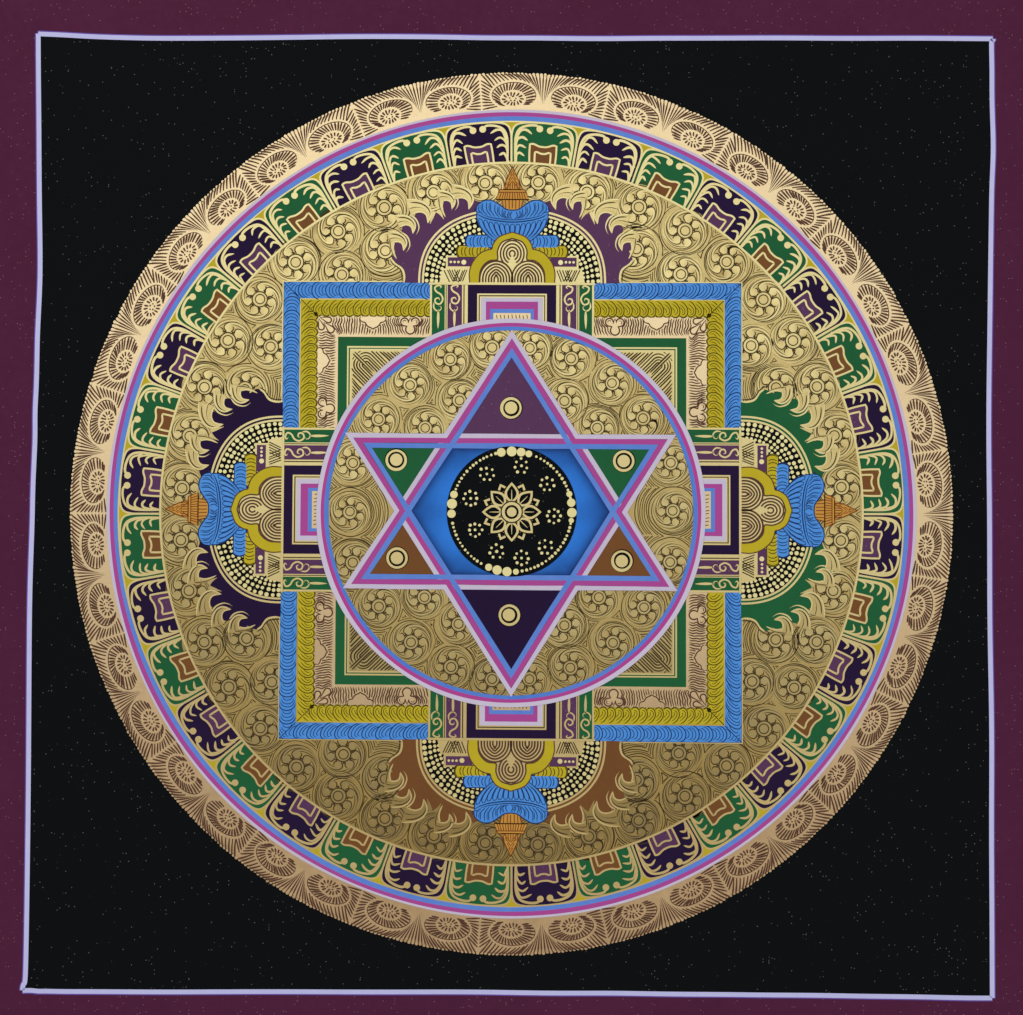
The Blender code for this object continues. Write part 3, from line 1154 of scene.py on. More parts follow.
@dataclass
class StarFrames(Part):
    """The two laced triangles, each of a pale, a magenta and a blue band.

    Attributes:
        upward: corners of the triangle that points up, from its apex clockwise.
        downward: corners of the triangle that points down, from its left corner clockwise.
        bands: distances of the bands' edges from the outer edge.
        rings: middles of the ringed bosses in the six points.
    """

    title: str = "star"
    upward: tuple[tuple[float, float], ...] = ((0.25, 92.0), (83.0, -38.6), (-84.2, -37.2))
    downward: tuple[tuple[float, float], ...] = ((-83.2, 40.6), (82.2, 39.6), (-0.25, -91.5))
    bands: tuple[float, ...] = (0.0, 2.3, 4.9, 7.4)
    rings: tuple[tuple[float, float], ...] = (
        (-0.2, 53.0), (56.2, 26.5), (55.2, -23.5), (-1.2, -50.5), (-57.2, -22.0), (-57.7, 27.0))

    def draw(self) -> None:
        """Lays the points' fills, the blue heart ground and the bands, the blue bands on top."""
        up, down = np.array(self.upward), np.array(self.downward)
        meets = self.meetings(up, down)
        tips = np.array([up[0], down[1], up[1], down[2], up[2], down[0]])
        for i, paint in enumerate((MAUVE, GREEN, EARTH, AUBERGINE, EARTH, GREEN)):
            corners = np.array([tips[i], meets[i], meets[i - 1]])
            self.coat(paint).lay(self.wedge(corners), 29, spread=0.0)
        inset = [self.inset(t, self.bands[-1]) for t in (up, down)]
        heart = self.meetings(inset[0][::40], inset[1][::40])
        sides = np.concatenate([np.linspace(a, b, 12)[:-1] for a, b in zip(heart, np.roll(heart, -1, 0))])
        shares = np.array([0.3, 0.62, 0.8, 0.9, 0.95, 1.0, 1.06])
        grid = sides[:, None] * shares[None, :, None]
        corner = np.abs(((np.arange(len(sides)) / 11) + 0.5) % 1.0 - 0.5)[:, None]
        depth = np.array([0.0, 0.0, 0.06, 0.24, 0.5, 0.85, 1.0])[None]
        tone = np.clip(depth * 0.9 + np.exp(-(corner / 0.22) ** 2) * np.array([0, 0.12, 0.3, 0.3, 0.2, 0.1, 0])[None], 0, 1)
        self.coat(AZURE_DEEP).lay(grid, 29, tone=tone.reshape(1, -1), closed=True)
        for k, paint in enumerate((PEARL, MAGENTA, CORNFLOWER)):
            for n, triangle in enumerate((up, down)):
                lines = [self.hand.waver(self.inset(triangle, d), 0.1, 8) for d in self.bands[k : k + 2]]
                self.coat(paint).lay(between(lines[1], lines[0]), 30 + 2 * k + n, closed=True)
        for paint, size, layer in ((LAMP_BLACK, 5.8, 31), (GOLD_LINE, 5.4, 32), (LAMP_BLACK, 4.1, 33), (GOLD_LINE, 3.1, 34)):
            self.dots(paint, np.array(self.rings) + self.hand.rng.normal(0, 0.08, (6, 2)), size, layer, 26)

    def wedge(self, corners: Array) -> Array:
        """A triangle as a grid ruled from its first corner.

        Args:
            corners: (3, 2) corners.

        Returns:
            (1, points, across, 2) grid.
        """
        far = np.linspace(corners[1], corners[2], 9)
        return between(np.repeat(corners[:1], 9, 0) * 0.98 + far * 0.02, far, 7)

    def inset(self, triangle: Array, distance: float, per_side: int = 40) -> Array:
        """The triangle drawn in by a distance, by shrinking it about its incentre.

        Args:
            triangle: (3, 2) corners.
            distance: how far each side moves in.
            per_side: points on each side.

        Returns:
            (3 * per_side, 2) closed line.
        """
        lengths = np.linalg.norm(np.roll(triangle, -1, 0) - np.roll(triangle, -2, 0), axis=1)
        centre = (triangle * lengths[:, None]).sum(0) / lengths.sum()
        a, b = triangle[1] - triangle[0], triangle[2] - triangle[0]
        inradius = abs(a[0] * b[1] - a[1] * b[0]) / lengths.sum()
        corners = centre + (triangle - centre) * (inradius - distance) / inradius
        t = np.linspace(0.0, 1.0, per_side, endpoint=False)[:, None]
        return np.concatenate([corners[i] * (1 - t) + corners[(i + 1) % 3] * t for i in range(3)])

    def meetings(self, up: Array, down: Array) -> Array:
        """Where the two triangles' sides cross, six places clockwise from the right of the top point.

        Args:
            up: corners of the triangle that points up.
            down: corners of the triangle that points down.

        Returns:
            (6, 2) crossings.
        """
        found = []
        for i, j in ((0, 0), (0, 1), (1, 1), (1, 2), (2, 2), (2, 0)):
            p, r = up[i], up[(i + 1) % 3] - up[i]
            q, s = down[j], down[(j + 1) % 3] - down[j]
            t = ((q - p)[0] * s[1] - (q - p)[1] * s[0]) / (r[0] * s[1] - r[1] * s[0])
            found.append(p + t * r)
        return np.array(found)


@dataclass
class Heart(Part):
    """The black disc in the middle, with its ring of beads, nine dotted stars and a gold lotus.

    Attributes:
        centre: its middle.
        radius: radius of the disc.
        bead_ring: radius of the ring of beads.
        big_beads: angle in degrees clockwise from the top and radius of the large beads.
        stars: middles of the dotted stars.
    """

    title: str = "heart"
    centre: tuple[float, float] = (0.1, 1.2)
    radius: float = 32.6
    bead_ring: float = 30.1
    big_beads: tuple[tuple[float, float], ...] = (
        (-10.0, 2.2), (0.0, 2.5), (9.0, 2.2), (16.5, 1.7), (73.0, 1.5), (81.5, 2.1), (91.0, 2.4), (98.5, 1.3),
        (176.0, 1.5), (184.5, 2.35), (194.0, 2.35), (202.5, 1.8), (268.0, 2.1), (277.5, 2.5), (286.5, 1.9))
    stars: tuple[tuple[float, float], ...] = (
        (5.0, 24.1), (-12.3, 20.0), (17.8, 14.9), (-20.4, 7.8), (21.3, -1.1), (-18.2, -7.9), (16.7, -16.5),
        (-7.4, -18.7), (5.0, -22.0))

    def draw(self) -> None:
        """Lays the disc, the beads, the stars and the lotus."""
        middle = np.array(self.centre)
        disc = self.hand.waver(ring(self.radius, 120, self.centre), 0.15, 5)
        self.coat(LAMP_BLACK).lay(between(disc * 0 + middle + 0.02 * (disc - middle), disc, 5), 37, closed=True)
        big = np.array(self.big_beads)
        self.dots(CREAM, polar(np.radians(big[:, 0]), np.full(len(big), self.bead_ring)) + middle, big[:, 1], 39, 16)
        small = np.arange(0.0, 360.0, 4.05) + self.hand.rng.normal(0.0, 0.35, 89)
        apart = np.abs((small[:, None] - big[None, :, 0] + 180.0) % 360.0 - 180.0) - big[None, :, 1] * 1.75
        small = np.radians(small[apart.min(1) > 0.8])
        size = self.hand.rng.uniform(0.6, 0.85, len(small))
        self.dots(CREAM, polar(small, np.full(len(small), self.bead_ring)) + middle, size, 38, 7)
        for star in self.stars:
            count = int(self.hand.rng.integers(7, 9))
            spots = ring(3.3, count) + star + self.hand.rng.normal(0.0, 0.2, (count, 2))
            self.dots(CREAM, np.concatenate([spots, [star]]), self.hand.rng.uniform(0.62, 0.85, count + 1), 38, 7)
        self.lotus(middle + [0.0, -0.2])

    def lotus(self, middle: Array) -> None:
        """Lays an eight-petalled lotus of plain gold, two rows of pointed petals round a ringed boss.

        Args:
            middle: its middle.
        """
        half = np.array([(0.0, 4.5), (2.6, 6.6), (3.7, 9.6), (2.3, 12.6), (0.0, 15.2)])
        shape = smooth(half, 12)[0]
        shape = np.concatenate([shape, (shape * [-1, 1])[-2:0:-1]])
        for turn, size, layer in ((np.pi / 8, 1.0, 38), (0.0, 0.98, 40)):
            angles = turn + np.arange(8) * np.pi / 4
            petals = turned(shape * size, angles, np.repeat(middle[None], 8, 0))
            cores = turned((shape - [0, 9.4]) * [0.66, 0.74] * size + [0, 9.4 * size], angles, np.repeat(middle[None], 8, 0))
            self.coat(LAMP_BLACK).fill(turned((shape - [0, 9.6]) * 1.14 + [0, 9.6], angles, np.repeat(middle[None], 8, 0)), layer)
            self.coat(GOLD_LINE).fill(petals, layer + 1)
            self.coat(LAMP_BLACK).fill(cores, layer + 1.4)
            veins = turned(np.array([(0.0, 5.6), (0.0, 8.5), (0.0, 11.2)]), angles, np.repeat(middle[None], 8, 0))
            self.stroke(GOLD_LINE, veins, 1.0, layer + 1.8, Tip.DROP)
        for paint, size, layer in ((LAMP_BLACK, 5.6, 43), (GOLD_LINE, 5.0, 43.5), (LAMP_BLACK, 3.5, 44), (GOLD_LINE, 2.4, 44.5)):
            self.dots(paint, [middle], size, layer, 28)


def palace_skew(points: Array) -> Array:
    """Moves a true square of the palace to the painter's slightly skewed one.

    Each corner has its own slip, and a place between them takes a share of all four.

    Args:
        points: (..., 2) points of the true drawing.

    Returns:
        The same points as painted.
    """
    s, t = np.clip(points[..., :1] / 114.5, -1.3, 1.3), np.clip(points[..., 1:] / 114.5, -1.3, 1.3)
    slips = {(-1, 1): (0.5, 1.75), (1, 1): (0.5, 1.0), (1, -1): (0.75, 0.0), (-1, -1): (-2.0, 2.0)}
    return points + sum((1 + i * s) * (1 + j * t) / 4 * np.array(slip) for (i, j), slip in slips.items())


@dataclass
class PalaceWalls(Part):
    """The square palace's walls: a gold line, scalloped blue and mustard bands, an ornamented
    pale band, a green band and the gold corner panels.

    A half side is drawn for the right half of the top side, with places across and inwards.

    Attributes:
        half: half widths of the bands' edges, from outside in.
        gate: half the width that the gates take from each side.
        coin: three lines of a mustard scallop, towards the corner and inwards from the band's edge.
        cloud: the left half of the cloud pendant.
        clouds: how far the pendants hang from a side's middle, for both halves of each side.
        fleur: head, foot of the tail and radius of the fleur's three lobes, and where it stands.
        leaves: the same for a corner's leaves, across its diagonal and along it.
        beside: half width of the fleur with its outline, by the way inwards.
        corner: how far the leaves reach from the band's corner, by the way inwards.
        blue_lean: how far the blue scallops lean, for both halves of each side.
    """

    title: str = "palace"
    half: tuple[float, ...] = (114.9, 114.2, 106.2, 105.6, 97.6, 97.1, 87.4, 86.9, 82.3)
    gate: float = 40.3
    coin: tuple[tuple[tuple[float, float], ...], ...] = (
        ((-2.2, 0.3), (-0.6, 1.2), (0.9, 3.1), (1.4, 5.2), (0.9, 7.2), (-0.6, 8.3), (-2.1, 7.9), (-2.8, 7.0)),
        ((-2.6, 1.6), (-1.0, 2.9), (0.1, 4.4), (0.2, 5.9), (-0.6, 6.9), (-1.4, 6.9)),
        ((-2.7, 3.2), (-1.5, 4.3), (-1.0, 5.4), (-1.5, 6.2)))
    cloud: tuple[tuple[float, float], ...] = (
        (-6.0, 0.2), (-6.4, 1.4), (-5.4, 2.6), (-3.9, 3.0), (-3.1, 4.3), (-2.0, 5.2), (-1.0, 5.6), (0.0, 6.3))
    clouds: tuple[tuple[float, float], ...] = ((72.0, 69.6), (75.0, 70.7), (74.3, 69.9), (72.2, 69.8))
    fleur: tuple[tuple[float, ...], ...] = (
        (-2.8, 2.5, -0.6, 4.6, 1.6), (2.8, 2.5, 0.6, 4.6, 1.6), (0.0, 6.5, 0.0, 1.0, 1.9))
    leaves: tuple[tuple[float, ...], ...] = (
        (0.0, 9.3, 0.0, 4.6, 1.3), (-2.5, 5.0, -0.6, 1.5, 1.1), (2.5, 5.0, 0.6, 1.5, 1.1))
    beside: tuple[tuple[float, float], ...] = ((0, 4.8), (2, 5.4), (3.8, 4.6), (5, 3.1), (6.6, 3.2), (8.2, 2.7), (9.6, 1.4))
    corner: tuple[tuple[float, float], ...] = ((0, 6.4), (2, 7.1), (4, 6.4), (5.5, 7.8), (7, 9.2), (8.2, 8.8), (9.6, 6.0))
    blue_lean: tuple[tuple[float, float], ...] = ((1.5, 0.0), (0.0, 0.2), (1.6, 0.3), (1.9, 1.9))

    def draw(self) -> None:
        """Lays the bands as square rings, then the ornament of each side and corner."""
        self.warp = palace_skew
        line, blue, blue_in, mustard, mustard_in, pale, pale_in, green, green_in = self.half
        panel = green_in - 1.4
        for paint, outer, inner, layer in (
                (GOLD_LINE, line, blue_in - 0.8, 9), (ROSE_GOLD, mustard_in + 0.5, pale_in - 0.7, 9),
                (NAVY, blue + 0.2, blue_in - 0.15, 9.6), (OLIVE, mustard + 0.05, mustard_in - 0.2, 9.6),
                (GREEN, green, panel - 1.0, 9.6), (AZURE, blue, blue_in, 10.4), (MUSTARD, mustard, mustard_in, 11.2),
                (GOLD_LINE, green_in, green_in - 0.8, 10.4), (GOLD_LINE, panel, panel - 0.7, 11)):
            self.square_ring(paint, outer, inner, layer)
        side = np.linspace(-panel, panel, 15)
        self.coat(GOLD).lay(np.stack(np.meshgrid(side, side), -1)[None], 10.4, tone=np.full((1, 225), -0.05))
        for quarter in range(4):
            for half in (0, 1):
                self.turn = (quarter * np.pi / 2, 1.0 - 2.0 * half)
                self.blue_scallops(blue, blue_in, self.blue_lean[quarter][half])
                self.mustard_scallops(mustard, mustard_in)
                self.pale_band(pale, pale - pale_in, self.clouds[quarter][half], 51.0 + self.hand.rng.normal(0.0, 0.5))
                self.plume(panel)
            self.turn = (quarter * np.pi / 2, 1.0)
            self.stroke(NAVY, self.side_on([(blue_in, blue_in), (blue, blue)]), 0.4, 13.4, Tip.EVEN)
            self.stroke(OLIVE, self.side_on([(mustard_in, mustard_in), (mustard, mustard)]), 0.4, 13.4, Tip.EVEN)
            diagonal = turned(np.array(self.leaves)[:, :4].reshape(3, 2, 2) * [1, -1], -np.pi / 4)[0] + pale
            self.lobes(self.side_on(diagonal[:, 0]), self.side_on(diagonal[:, 1]), np.array(self.leaves)[:, 4], slice(0, 0))

    def side_on(self, points: Array) -> Array:
        """Turns points drawn for the top side's right half to the side and half in hand."""
        return turned(np.asarray(points, float) * [self.turn[1], 1.0], [self.turn[0]])[0]

    def square_ring(self, paint: Paint, outer: float, inner: float, layer: float) -> None:
        """Lays a square ring between two half widths."""
        corners = np.array([(-1.0, 1.0), (1.0, 1.0), (1.0, -1.0), (-1.0, -1.0), (-1.0, 1.0)])
        unit = np.concatenate([np.linspace(a, b, 21)[:-1] for a, b in zip(corners, corners[1:])])
        lines = [self.hand.waver(unit * size, 0.05, 9) for size in (inner, outer)]
        self.coat(paint).lay(between(*lines), layer, closed=True, spread=0.0)

    def mitre(self, paint: Paint, lines: Array, width: float | Array, layer: float, tip: Tip = Tip.ROUND) -> None:
        """Lays strokes of a half side, cut off where it meets the next side on the diagonal."""
        self.stroke(paint, self.side_on(lines), width, layer, tip, keep=lines[..., 0] < lines[..., 1] - 0.1)

    def blue_scallops(self, outer: float, inner: float, lean: float) -> None:
        """Lays half ellipses across the blue band, round towards the corner, each shorter than the one before."""
        across = np.arange(self.gate + 0.4, outer, 1.7)[::-1]
        place = np.arange(len(across)) % 4
        size = np.array([1.0, 0.86, 0.74, 0.6])[place][:, None] * self.hand.rng.normal(1.0, 0.04, (len(across), 1))
        turn = np.radians(np.linspace(-92.0, 92.0, 15))[None]
        up = 3.95 * size * np.sin(turn)
        lines = np.stack([across[:, None] + 3.3 * size * (np.cos(turn) - 1.0) + lean * np.sin(turn),
                          0.5 * (outer + inner) + up], -1)
        self.mitre(NAVY, self.hand.slip(lines, 0.07), np.array([0.5, 0.36, 0.36, 0.36])[place], 12.8)

    def mustard_scallops(self, outer: float, inner: float) -> None:
        """Lays the mustard coins: a round end over the band's inner edge and three nested lines."""
        across = np.arange(self.gate + 2.4, outer - 1.5, 3.95)
        across = across + self.hand.rng.normal(0.0, 0.1, len(across))
        ends = np.stack([across - 0.75, np.full(len(across), outer - 6.5)], -1)[across < inner + 2.0]
        self.dots(OLIVE, self.side_on(ends), 2.35, 10.3, 14)
        self.dots(MUSTARD, self.side_on(ends), 2.1, 11.8, 14)
        for line, width in zip(self.coin, (0.46, 0.34, 0.3)):
            lines = smooth(np.array(line) * [1, -1], 18) + np.stack([across, np.full(len(across), outer)], -1)[:, None]
            self.mitre(OLIVE, self.hand.slip(lines, 0.08), width, 12.8)

    def pale_band(self, top: float, depth: float, cloud: float, fleur: float) -> None:
        """Lays the contour strokes, the cloud pendant and the three-lobed fleur of half a side.

        The strokes cross the band like wood grain. They share slow waves, lean near the corner
        and bow round the fleur, the less the further off they are.

        Args:
            top: where the band's outer edge lies.
            depth: the band's width.
            cloud: where the cloud hangs.
            fleur: where the fleur stands.
        """
        rng = self.hand.rng
        start = np.arange(self.gate + 1.0, top - 6.6, 1.3)[:, None] + rng.normal(0.0, 0.1, 1)
        v = np.linspace(0.0, 1.0, 16) * (depth - rng.uniform(0.7, 1.2, start.shape)) + rng.uniform(0.1, 0.4, start.shape)
        away = start - fleur
        u = start + np.sign(away) * (np.interp(v, *zip(*self.beside)) - 2.9) * np.exp((2.9 - np.abs(away)) / 5.5)
        u = u - (np.interp(v, *zip(*self.corner)) - 6.6) * np.exp((6.6 - top + start) / 6.0)
        u = u + 0.45 * np.sin(0.5 * v + 0.16 * start + rng.uniform(0.0, 6.0)) + 0.1 * np.sin(1.6 * v + rng.uniform(0, 6, start.shape))
        edge = np.array(self.cloud)
        hang = np.interp(-np.abs(u - cloud), edge[:, 0], edge[:, 1], left=-1.0) + 0.7
        lines = self.hand.slip(np.stack([u, top - v], -1), 0.06)
        keep = (np.abs(away) > 2.7) & (v > hang) & (lines[..., 0] < lines[..., 1] + 0.2)
        self.stroke(SEPIA, self.side_on(lines), rng.uniform(0.5, 0.72, len(start)), 12.8, Tip.ROUND, keep=keep)
        half = smooth(edge, 20)[0]
        rim = np.concatenate([half, (half * [-1, 1])[-2::-1]])
        sheet = between(rim * [1, 0], rim, 3) * [1, -1] + [cloud, top]
        self.coat(ROSE_GOLD).lay(self.side_on(sheet), 12.8, tone=np.full((1, 39 * 3), -0.25))
        self.stroke(SEPIA, self.side_on(rim[1:-1] * [1, -1] + [cloud, top]), 0.62, 13.4, Tip.ROUND)
        lobes = np.array(self.fleur)
        places = lobes[:, :4].reshape(3, 2, 2) * [1, -1] + [fleur, top] + rng.normal(0.0, 0.12, (3, 1, 2))
        self.lobes(self.side_on(places[:, 0]), self.side_on(places[:, 1]), lobes[:, 4], slice(0, 2))

    def lobes(self, heads: Array, tails: Array, radius: Array, curls: slice) -> None:
        """Lays teardrops with bold outlines: a round head whose sides run straight to its tail's end.

        Args:
            heads: (lobes, 2) middles of the heads.
            tails: (lobes, 2) ends of the tails.
            radius: each head's radius.
            curls: which of them have a curl in the head.
        """
        ahead = (heads - tails) / np.linalg.norm(heads - tails, axis=1, keepdims=True)
        aside = np.stack([-ahead[:, 1], ahead[:, 0]], -1)
        turn = np.radians(np.linspace(-112.0, 112.0, 15))[None, :, None]
        for paint, grow, layer in ((SEPIA, 0.7, 13.4), (ROSE_GOLD, 0.0, 14.2)):
            rims = np.cos(turn) * ahead[:, None] + np.sin(turn) * aside[:, None]
            rims = heads[:, None] + (radius + grow)[:, None, None] * rims
            ends = (tails - ahead * grow)[:, None]
            self.coat(paint).fill(np.concatenate([ends, rims], 1), layer, heads, spread=0.02)
        hooks = heads[:, None] + 0.55 * radius[:, None, None] * (np.cos(turn) * ahead[:, None] + np.sin(turn) * aside[:, None])
        self.stroke(SEPIA, hooks[curls], 0.5, 15.0, Tip.COMMA)

    def plume(self, half: float) -> None:
        """Lays half of the engraved plume in a gold corner panel.

        Lines run inwards beside the panel's diagonal. The ones near it start from its double
        stem in a quarter ellipse, the narrower the later; the rest start at the panel's edge.

        Args:
            half: half width of the panel's square.
        """
        aside = np.arange(1.6, 19.0, 1.3)[:, None]
        inner = aside < 8.2
        start = np.where(inner, 2.6 + 1.1 * (8.2 - aside), aside + 1.2)
        turn = np.linspace(0.0, 1.0, 18)[None]
        round_in = np.clip(turn / 0.55, 0.0, 1.0) * np.pi / 2
        straight = np.clip(turn - 0.55, 0.0, 1.0) / 0.45
        along = np.where(inner, start + 0.8 * aside * (1 - np.cos(round_in)) + straight * 11.0, start + turn * 13.0)
        away = np.where(inner, 0.9 + (aside - 0.9) * np.sin(round_in), aside + 0.5 * np.sin(np.pi * turn))
        lines = np.concatenate([self.hand.slip(np.stack([along, away], -1), 0.09), self.stem(0.62)])
        place = half + lines @ np.array([[-1.0, -1.0], [1.0, -1.0]]) / math.sqrt(2.0)
        width = self.hand.rng.uniform(0.6, 0.82, len(lines))
        self.stroke(UMBER, self.side_on(place), width, 12.8, Tip.ROUND, keep=place[..., 0] < half - 1.0)

    def stem(self, off: float) -> Array:
        """One of the two lines of the plume's stem, along the diagonal and beside it."""
        along = np.linspace(1.8, 17.0, 18)
        return np.stack([along, np.full(18, off)], -1)[None]


@dataclass
class Gate(Part):
    """One of the palace's four gates, drawn for the top side and turned to its own.

    Places are across and outwards from the middle of the lintel, in millimetres.

    Attributes:
        quarter: quarter turns clockwise from the top side.
        flame: paint of the ground round the arch.
        shift: how far the gate's axis lies off the side's middle, clockwise.
        lintel: how far the lintel lies from the mandala's middle.
        arch: half width, height and power of the arch's outer curve.
        flame_edge: the right half of the flame ground's edge, from its foot to the vase.
        caves: across, outwards, turn in degrees and size of the round caves in that edge.
        leaf: lines of the hooked leaves round a cave, each from its root to its tip.
    """

    title: str = "gate"
    quarter: int = 0
    flame: Paint = MAUVE
    shift: float = 0.0
    lintel: float = 113.7
    arch: tuple[float, float, float] = (47.0, 37.6, 2.4)
    flame_edge: tuple[tuple[float, float], ...] = (
        (53.9, 0.4), (54.0, 4.3), (55.2, 7.4), (58.6, 9.8), (60.2, 12.2), (58.8, 15.6), (57.4, 18.8), (56.2, 22.8), (53.2, 27.0), (50.4, 31.6), (46.3, 33.6),
        (41.6, 35.0), (38.8, 35.2), (36.0, 36.2), (32.9, 39.2), (29.6, 41.2), (24.9, 41.2), (19.4, 41.8), (0.0, 34.0))
    caves: tuple[tuple[float, ...], ...] = (
        (24.9, 39.8, -4.0, 2.95), (32.9, 39.2, 0.0, 2.4), (46.3, 32.6, 4.0, 3.2), (53.2, 27.0, 6.0, 2.55),
        (57.4, 18.8, 0.0, 2.4))
    leaf: dict[str, tuple[tuple[float, float], ...]] = field(default_factory=lambda: {
        "outer": ((2.1, 3.1), (0.9, 3.0), (-0.4, 2.6), (-1.45, 1.7), (-1.75, 0.5), (-1.1, -0.95)),
        "under": ((1.5, 0.6), (0.7, 0.95), (-0.1, 1.0), (-0.8, 0.65), (-1.08, 0.0), (-1.1, -0.95)),
        "right": ((2.1, 3.1), (2.05, 1.6), (1.75, -0.2), (1.2, -1.5), (0.3, -2.6)),
        "inside": ((0.7, 0.9), (0.95, 0.3), (1.0, -0.5), (0.8, -1.5), (0.3, -2.6)),
        "second": ((-0.9, 2.9), (-2.0, 1.9), (-2.45, 0.5), (-2.2, -0.5), (-1.7, -1.2)),
        "gap": ((-0.9, 2.5), (-1.8, 1.6), (-2.1, 0.4), (-1.8, -0.6), (-1.4, -1.4))})

    def draw(self) -> None:
        """Lays the gate from its ground up."""
        self.warp = self.to_sheet
        self.flames()
        self.beaded_arch()
        self.doorway()
        self.pilasters()
        self.capitals()
        for side in (1.0, -1.0):
            self.roll(MUSTARD, OLIVE, side, (-27.8, -12.0, 13.4, 18.8), 1.9, 19.0)
            self.roll(AZURE, NAVY, side, (-23.4, -6.0, 18.2, 24.0), 1.75, 19.3)
        self.vase()
        self.finial()
        self.trefoil()

    def to_sheet(self, points: Array) -> Array:
        """Turns the gate's own places to the places on the sheet."""
        return palace_skew(turned(points + [self.shift, self.lintel], [-self.quarter * np.pi / 2])[0])

    def hump(self, inward: float, count: int = 61) -> Array:
        """The arch's curve drawn in by a distance: a rounded half square, from left foot to right foot."""
        half, high, power = self.arch
        turn = np.linspace(0.0, np.pi, count)
        across = -np.sign(np.cos(turn)) * np.abs(np.cos(turn)) ** (2 / power) * (half - inward)
        return np.stack([across, np.sin(turn) ** (2 / power) * (high - inward)], -1)

    def both(self, half: Array) -> Array:
        """Joins a half line that ends on the axis with its mirror image."""
        return np.concatenate([half, (half * [-1, 1])[-2::-1]])

    def raised(self, paint: Paint, line: Array, foot: float, layer: float, across: int = 4) -> None:
        """Fills the space between a line and its foot."""
        under = np.stack([line[:, 0], np.full(len(line), foot)], -1)
        self.coat(paint).lay(between(under, line, across), layer, spread=0.0)

    def box(self, paint: Paint, left: float, right: float, low: float, high: float, layer: float) -> None:
        """Fills an upright box."""
        rows = np.array([[(left, low), (right, low)], [(left, high), (right, high)]])
        self.coat(paint).lay(between(rows[0], rows[1], 2), layer, spread=0.02)

    def flames(self) -> None:
        """Lays the flame ground, its round caves and the hooked gold leaves round them."""
        edge = self.both(smooth(np.array(self.flame_edge), 80)[0])
        self.coat(self.flame).lay(between(edge * 0.6, edge, 6), 12, spread=0.0)
        shade = np.tile([0.3, 0.1, 0.0, 0.06, 0.3], (1, 14))
        for side in (1.0, -1.0):
            flip = np.array([side, 1.0])
            for k, (across, out, turn, size) in enumerate(self.caves):
                shift, size = self.hand.rng.normal(0.0, 0.2, 2) + [across, out], size * self.hand.rng.normal(1.0, 0.03)
                put = {name: (turned(smooth(np.array(line), 14)[0] * size, [-np.radians(turn)])[0] + shift) * flip
                       for name, line in self.leaf.items()}
                self.coat(self.flame).fill((ring(1.02 * size, 22) + shift) * flip, 12.8, spread=0.0)
                if k in (1, 3, 4):
                    self.stroke(self.flame, put["gap"], 0.55 * size, 13.4, Tip.COMMA)
                    self.stroke(GOLD_LINE, put["second"], 0.9, 14.0, Tip.COMMA)
                if k in (1, 4):
                    self.coat(GOLD).lay(between(put["inside"], put["right"], 5), 14.0, tone=shade)
                    self.stroke(UMBER, 0.3 * put["inside"][2:] + 0.7 * put["right"][2:], 0.5, 15.6, Tip.COMMA)
                    self.stroke(GOLD_LINE, put["inside"], 0.75, 16.2, Tip.ROUND)
                self.coat(GOLD).lay(between(put["under"], put["outer"], 5), 14.8, tone=shade)
                self.stroke(UMBER, 0.22 * put["under"][1:12] + 0.78 * put["outer"][1:12], 0.6, 15.6, Tip.ROUND)
                self.stroke(UMBER, 0.6 * put["under"][:8] + 0.4 * put["outer"][:8], 0.4, 15.6, Tip.COMMA)
                self.stroke(GOLD_LINE, put["outer"], 0.85, 16.2, Tip.ROUND)
                self.stroke(GOLD_LINE, put["under"], 0.75, 16.2, Tip.ROUND)
            for line in (((37.6, 36.6), (36.0, 35.0), (34.4, 32.2)), ((39.4, 36.2), (40.2, 33.2), (41.2, 29.8))):
                horn = smooth(np.array(line), 9) * flip
                self.stroke(GOLD, horn, 2.2, 13.4, Tip.COMMA)
            foot = smooth(np.array(self.flame_edge[:5]), 20) * flip
            for off, paint, width in ((0.0, GOLD_LINE, 1.0), (1.1, UMBER, 0.5)):
                self.stroke(paint, foot + [off * side, 0.0], width, 13.4, Tip.ROUND)

    def beaded_arch(self) -> None:
        """Lays the arch's two gold lines and the rows of beads on black, smaller inwards."""
        lines = ((GOLD_LINE, 0.0, 15.6), (self.flame, 1.0, 16.2), (GOLD_LINE, 1.9, 16.8), (LAMP_BLACK, 2.9, 17.4))
        for paint, inward, layer in lines:
            self.raised(paint, self.hump(inward), 0.4, layer)
        inward = 4.15
        for radius in (1.15, 1.04, 0.92, 0.84, 0.76, 0.7, 0.66, 0.62, 0.59, 0.57, 0.55, 0.53, 0.52):
            line = self.hump(inward, 400)
            length = np.concatenate([[0.0], np.cumsum(np.linalg.norm(np.diff(line, axis=0), axis=1))])
            count = int(length[-1] / (2.32 * radius + 0.26))
            place = (np.arange(count) + 0.5) * length[-1] / count
            spots = np.stack([np.interp(place, length, line[:, axis]) for axis in (0, 1)], -1)
            spots = spots[spots[:, 1] > 1.2]
            spots = spots + self.hand.rng.normal(0.0, 0.13, spots.shape)
            self.dots(CREAM, spots, radius * self.hand.rng.uniform(0.82, 1.08, len(spots)), 18, 7)
            inward += 2.0 * radius + 0.26

